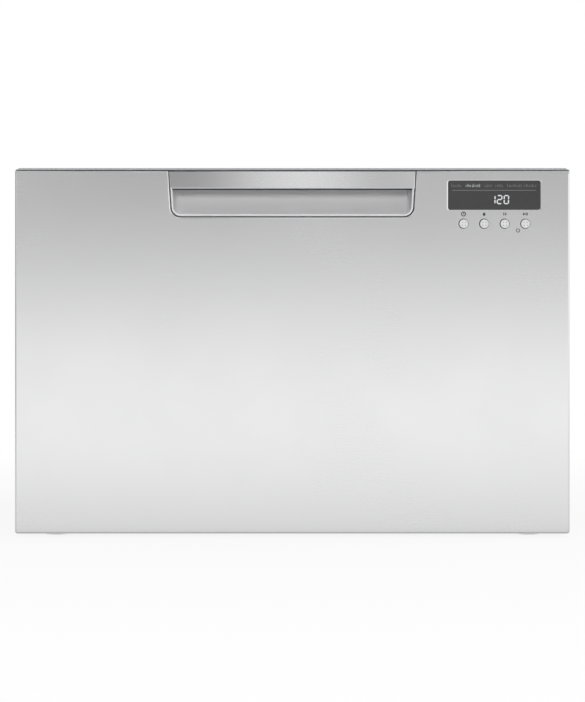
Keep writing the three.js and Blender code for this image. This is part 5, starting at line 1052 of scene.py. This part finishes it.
def screws():
    """Cross-head screws on the chassis's sides and top, runner rivets among them; each cross recess is a black raised
    cross, painted shade.
    """
    heads, cross_shades = Shape(), Shape()
    dome = [(0.01, 1.25), (1.4, 1.2), (2.6, 0.8), (3.2, 0.2), (3.4, -0.2), (0.01, -0.3)]
    bars = ((1.5, 0.35), (0.35, 1.5))  # half sizes of a cross's two bars
    side, top, low, high = 297, 397, 1, 1.35  # where the heads stand, and a cross's foot and top over that
    sides = [(y, z) for y in (-256.0, 277.0) for z in (60.0, 150.0, 345.0)]
    sides += [(y, 226.0) for y in (-236.0, 0.0, 232.0)]
    tops = [(x, y) for x in (-290.0, 290.0) for y in (-200.0, 20.0, 240.0)]
    tops += [(x, 280.0) for x in (-240.0, -80.0, 80.0, 240.0)]
    for sign in (-1, 1):
        for y, z in sides:
            heads.lathe([(r, sign * h) for r, h in dome], (sign * side, y, z), "x", 20)
            for u, v in bars:
                cross_shades.box((sign * (side + low), sign * (side + high)), (y - u, y + u), (z - v, z + v))
    for x, y in tops:
        heads.lathe(dome, (x, y, top), "z", 20)
        for u, v in bars:
            cross_shades.box((x - u, x + u), (y - v, y + v), (top + low, top + high))
    heads.piece("screw_heads", "runner", "galvanised", body="chassis", smooth=40)
    # the black crosses paint the shade of the heads' cross recesses
    cross_shades.piece("screw_cross_shades", "black", body="chassis", smooth=30)


# ---------- CAD pieces shown with rounded edges
CAD_LOOKS = {  # the nodes, * for left and right, and how wide their rounded edges are
    "frame": ("door_frame", 0.5),
    "white": ("display_carrier pump_housing dispenser_body fan_rotor inlet_valve lid_actuator_* lid_wedge_*", 0.4),
    "board": ("display_board", 0.1),
    "black": ("controller_box base_tray pump_rotor fan_housing", 0.5),
    "lid": ("lid_panel", 0.6),
    "zinc": ("chassis_side_* chassis_top chassis_back lid_guide_*", 0.35),
    "runner": ("runner_outer_* runner_middle_* runner_inner_*", 0.25),
    "rubber": ("lid_seal", 0.4),
    "dark": ("link_rear_arm link_front_arm link_bracket", 0.5),
}


def dress_cad():
    for look, (names, width) in CAD_LOOKS.items():
        for name in sorted({name.replace("*", side) for name in names.split() for side in ("left", "right")}):
            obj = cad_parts[name]
            obj.data.materials.clear()
            obj.data.materials.append(M[look])
            weld = obj.modifiers.new("join", "WELD")
            weld.merge_threshold = 0.00001
            add_bevel(obj, width, 35)


# ---------- stage
def sky():
    """Soft even light on the object, plain white to the eye."""
    world = bpy.data.worlds.new("studio")
    bpy.context.scene.world = world
    world.use_nodes = True
    tree = Tree(world.node_tree)
    tree.nodes.clear()
    soft, white = (tree.node("Background", {"Color": (1, 1, 1, 1), "Strength": power}) for power in (0.42, 1.0))
    tree.node("OutputWorld", {0: tree.blend(tree.seen_rays(), soft, white).outputs[0]})


def screen(name, corners, look, shader):
    """A four-cornered face of the studio, shown by a shader node."""
    look.feed(look.nodes["Material Output"], {0: shader.outputs[0]})
    mesh = bpy.data.meshes.new(name)
    mesh.from_pydata(corners, [], [(0, 1, 2, 3)])
    mesh.materials.append(look.material)
    obj = placed(name, mesh)
    return obj


def floor():
    """Pale floor that keeps the object's shadow and fades to white; seen from below it is clear."""
    look = Look("floor")
    tone = look.mix(look.noise(40, detail=4), rgb(186, 186, 186), rgb(192, 192, 192))
    look.shaded(Base_Color=tone, Roughness=0.9, Specular_IOR_Level=0.1)
    away = look.node("VectorMath", {0: look.coords}, operation="LENGTH").outputs["Value"]
    fade = look.math("MULTIPLY", look.span(away, 0.9, 1.0, 0.35, 1.5), look.seen_rays())
    faded = look.blend(fade, look.shader, look.node("Emission"))
    below = look.node("NewGeometry").outputs["Backfacing"]
    half, z = 9, -0.0004
    corners = [(u, v, z) for u, v in rect(-half, -half, half, half)]
    return screen("floor", corners, look, look.blend(below, faded, look.node("BsdfTransparent")))


def lamps(ground):
    """Three soft lamps over the object, and one under it that shines through the floor."""
    free = bpy.data.collections.new("through_floor")
    free.objects.link(ground)
    free.collection_objects[0].light_linking.link_state = "EXCLUDE"
    for name, place, size, power in (
        ("top_light", (0.3, -0.6, 2.4), 2.4, 34),
        ("front_light", (0.2, -2.5, 0.84), 0.5, 22.5),
        ("side_light", (2.4, 0.3, 1.2), 1.5, 16),
        ("under_light", (0.0, 0.1, -1.4), 0.6, 14),
    ):
        data = bpy.data.lights.new(name, "AREA")
        data.size = size
        data.energy = power
        lamp = placed(name, data)
        lamp.location = place
        lamp.rotation_euler = (Vector((0, 0, 0.2)) - Vector(place)).to_track_quat("-Z", "Y").to_euler()
        lamp.visible_glossy = False
    lamp.light_linking.blocker_collection = free


def card(name, corners, axis, stops, steep=1.0):
    """A card that only reflections see; its strength runs along an axis through stops, in metres,
    and falls to a share of that where it is seen steeply."""
    look = Look(name)
    low, high, peak = stops[0][0], stops[-1][0], max(value for _, value in stops)
    place = look.node("SeparateXYZ", {0: look.coords}).outputs[axis]
    ramp = look.node("ValToRGB", {"Fac": look.span(place, 0, 1, low, high)})
    ramp.color_ramp.interpolation = "EASE"
    while len(ramp.color_ramp.elements) < len(stops):
        ramp.color_ramp.elements.new(0.5)
    for element, (at, value) in zip(ramp.color_ramp.elements, stops):
        element.position = (at - low) / (high - low)
        element.color = (value / peak, value / peak, value / peak, 1)
    facing = look.node("LayerWeight").outputs["Facing"]
    strength = look.span(facing, peak * steep, peak, 0.55, 0.85)
    glow = look.node("Emission", {"Color": ramp.outputs["Color"], "Strength": strength})
    obj = screen(name, corners, look, glow)
    for ray in ("camera", "diffuse", "shadow", "transmission", "volume_scatter"):
        setattr(obj, f"visible_{ray}", False)


def upright(start, end, low, high):
    """Corners of an upright card between two places on the floor."""
    return [(*start, low), (*end, low), (*end, high), (*start, high)]


def cards():
    """What the metal mirrors: a front card that brightens towards its middle, one over it that is
    brightest at the centre, a light card on the right and grey ones on the left and on the floor."""
    near, half, tall = -1.15, 0.8, 0.54
    card("front_card", upright((-half, near), (half, near), 0, tall), 2,
         [(0, 1.25), (0.06, 1.42), (0.14, 1.41), (0.24, 1.2), (0.32, 0.925), (0.42, 0.655), (tall, 0.58)])
    card("bar_card", upright((-half, near), (half, near), tall, 1.9), 0,
         [(-0.4, 0.85), (-0.29, 0.6), (-0.235, 0.0), (-0.16, 0.02), (-0.12, 0.28), (-0.09, 0.56), (-0.05, 1.12),
          (0.0, 1.42), (0.037, 1.42), (0.073, 1.18), (0.125, 0.42), (0.16, 0.53), (0.19, 0.86), (0.4, 0.6)])
    card("right_card", upright((0.86, near), (1.7, 0.4), 0, 1.4), 2, [(0, 1.25), (0.45, 1.42), (1.4, 1.45)])
    card("left_card", upright((-1.15, near), (-1.7, 0.4), 0, 1.4), 2, [(0, 0.5), (1.4, 0.66)])
    under, edge = 0.003, -0.288  # the floor card lies just over the floor, as far as the front
    card("floor_card", [(u, v, under) for u, v in rect(-0.5, near, 0.5, edge)], 1,
         [(near, 1.22), (-0.345, 0.99), (-0.315, 0.89), (edge, 0.68)], 0.76)


def camera():
    """Straight on, at the photograph's framing."""
    distance, view = 2.1, 0.7574
    data = bpy.data.cameras.new("camera")
    data.sensor_width = 36
    data.lens = data.sensor_width * distance / view
    data.clip_end = 100
    cam = placed("camera", data)
    cam.location = (0.0002, FRONT * MM - distance, 0.2015)
    cam.rotation_euler = (math.pi / 2, 0, 0)
    bpy.context.scene.camera = cam


front_sheet()
hand_scoop()
pull_bar()
display()
buttons()
icons()
tub()
tub_supports()
for side in (-1, 1):
    rack(side)
    cup_shelf(side)
tine_rows()
cutlery_basket()
spray_arm()
filter_plate()
drain_filter()
soap_door()
rinse_cap()
hoses()
for end in FOOT_Y:
    for side in FOOT_X:
        foot(end, side)
base_ribs()
screws()
dress_cad()
sky()
lamps(floor())
cards()
camera()
bpy.context.scene.view_settings.view_transform = "Standard"
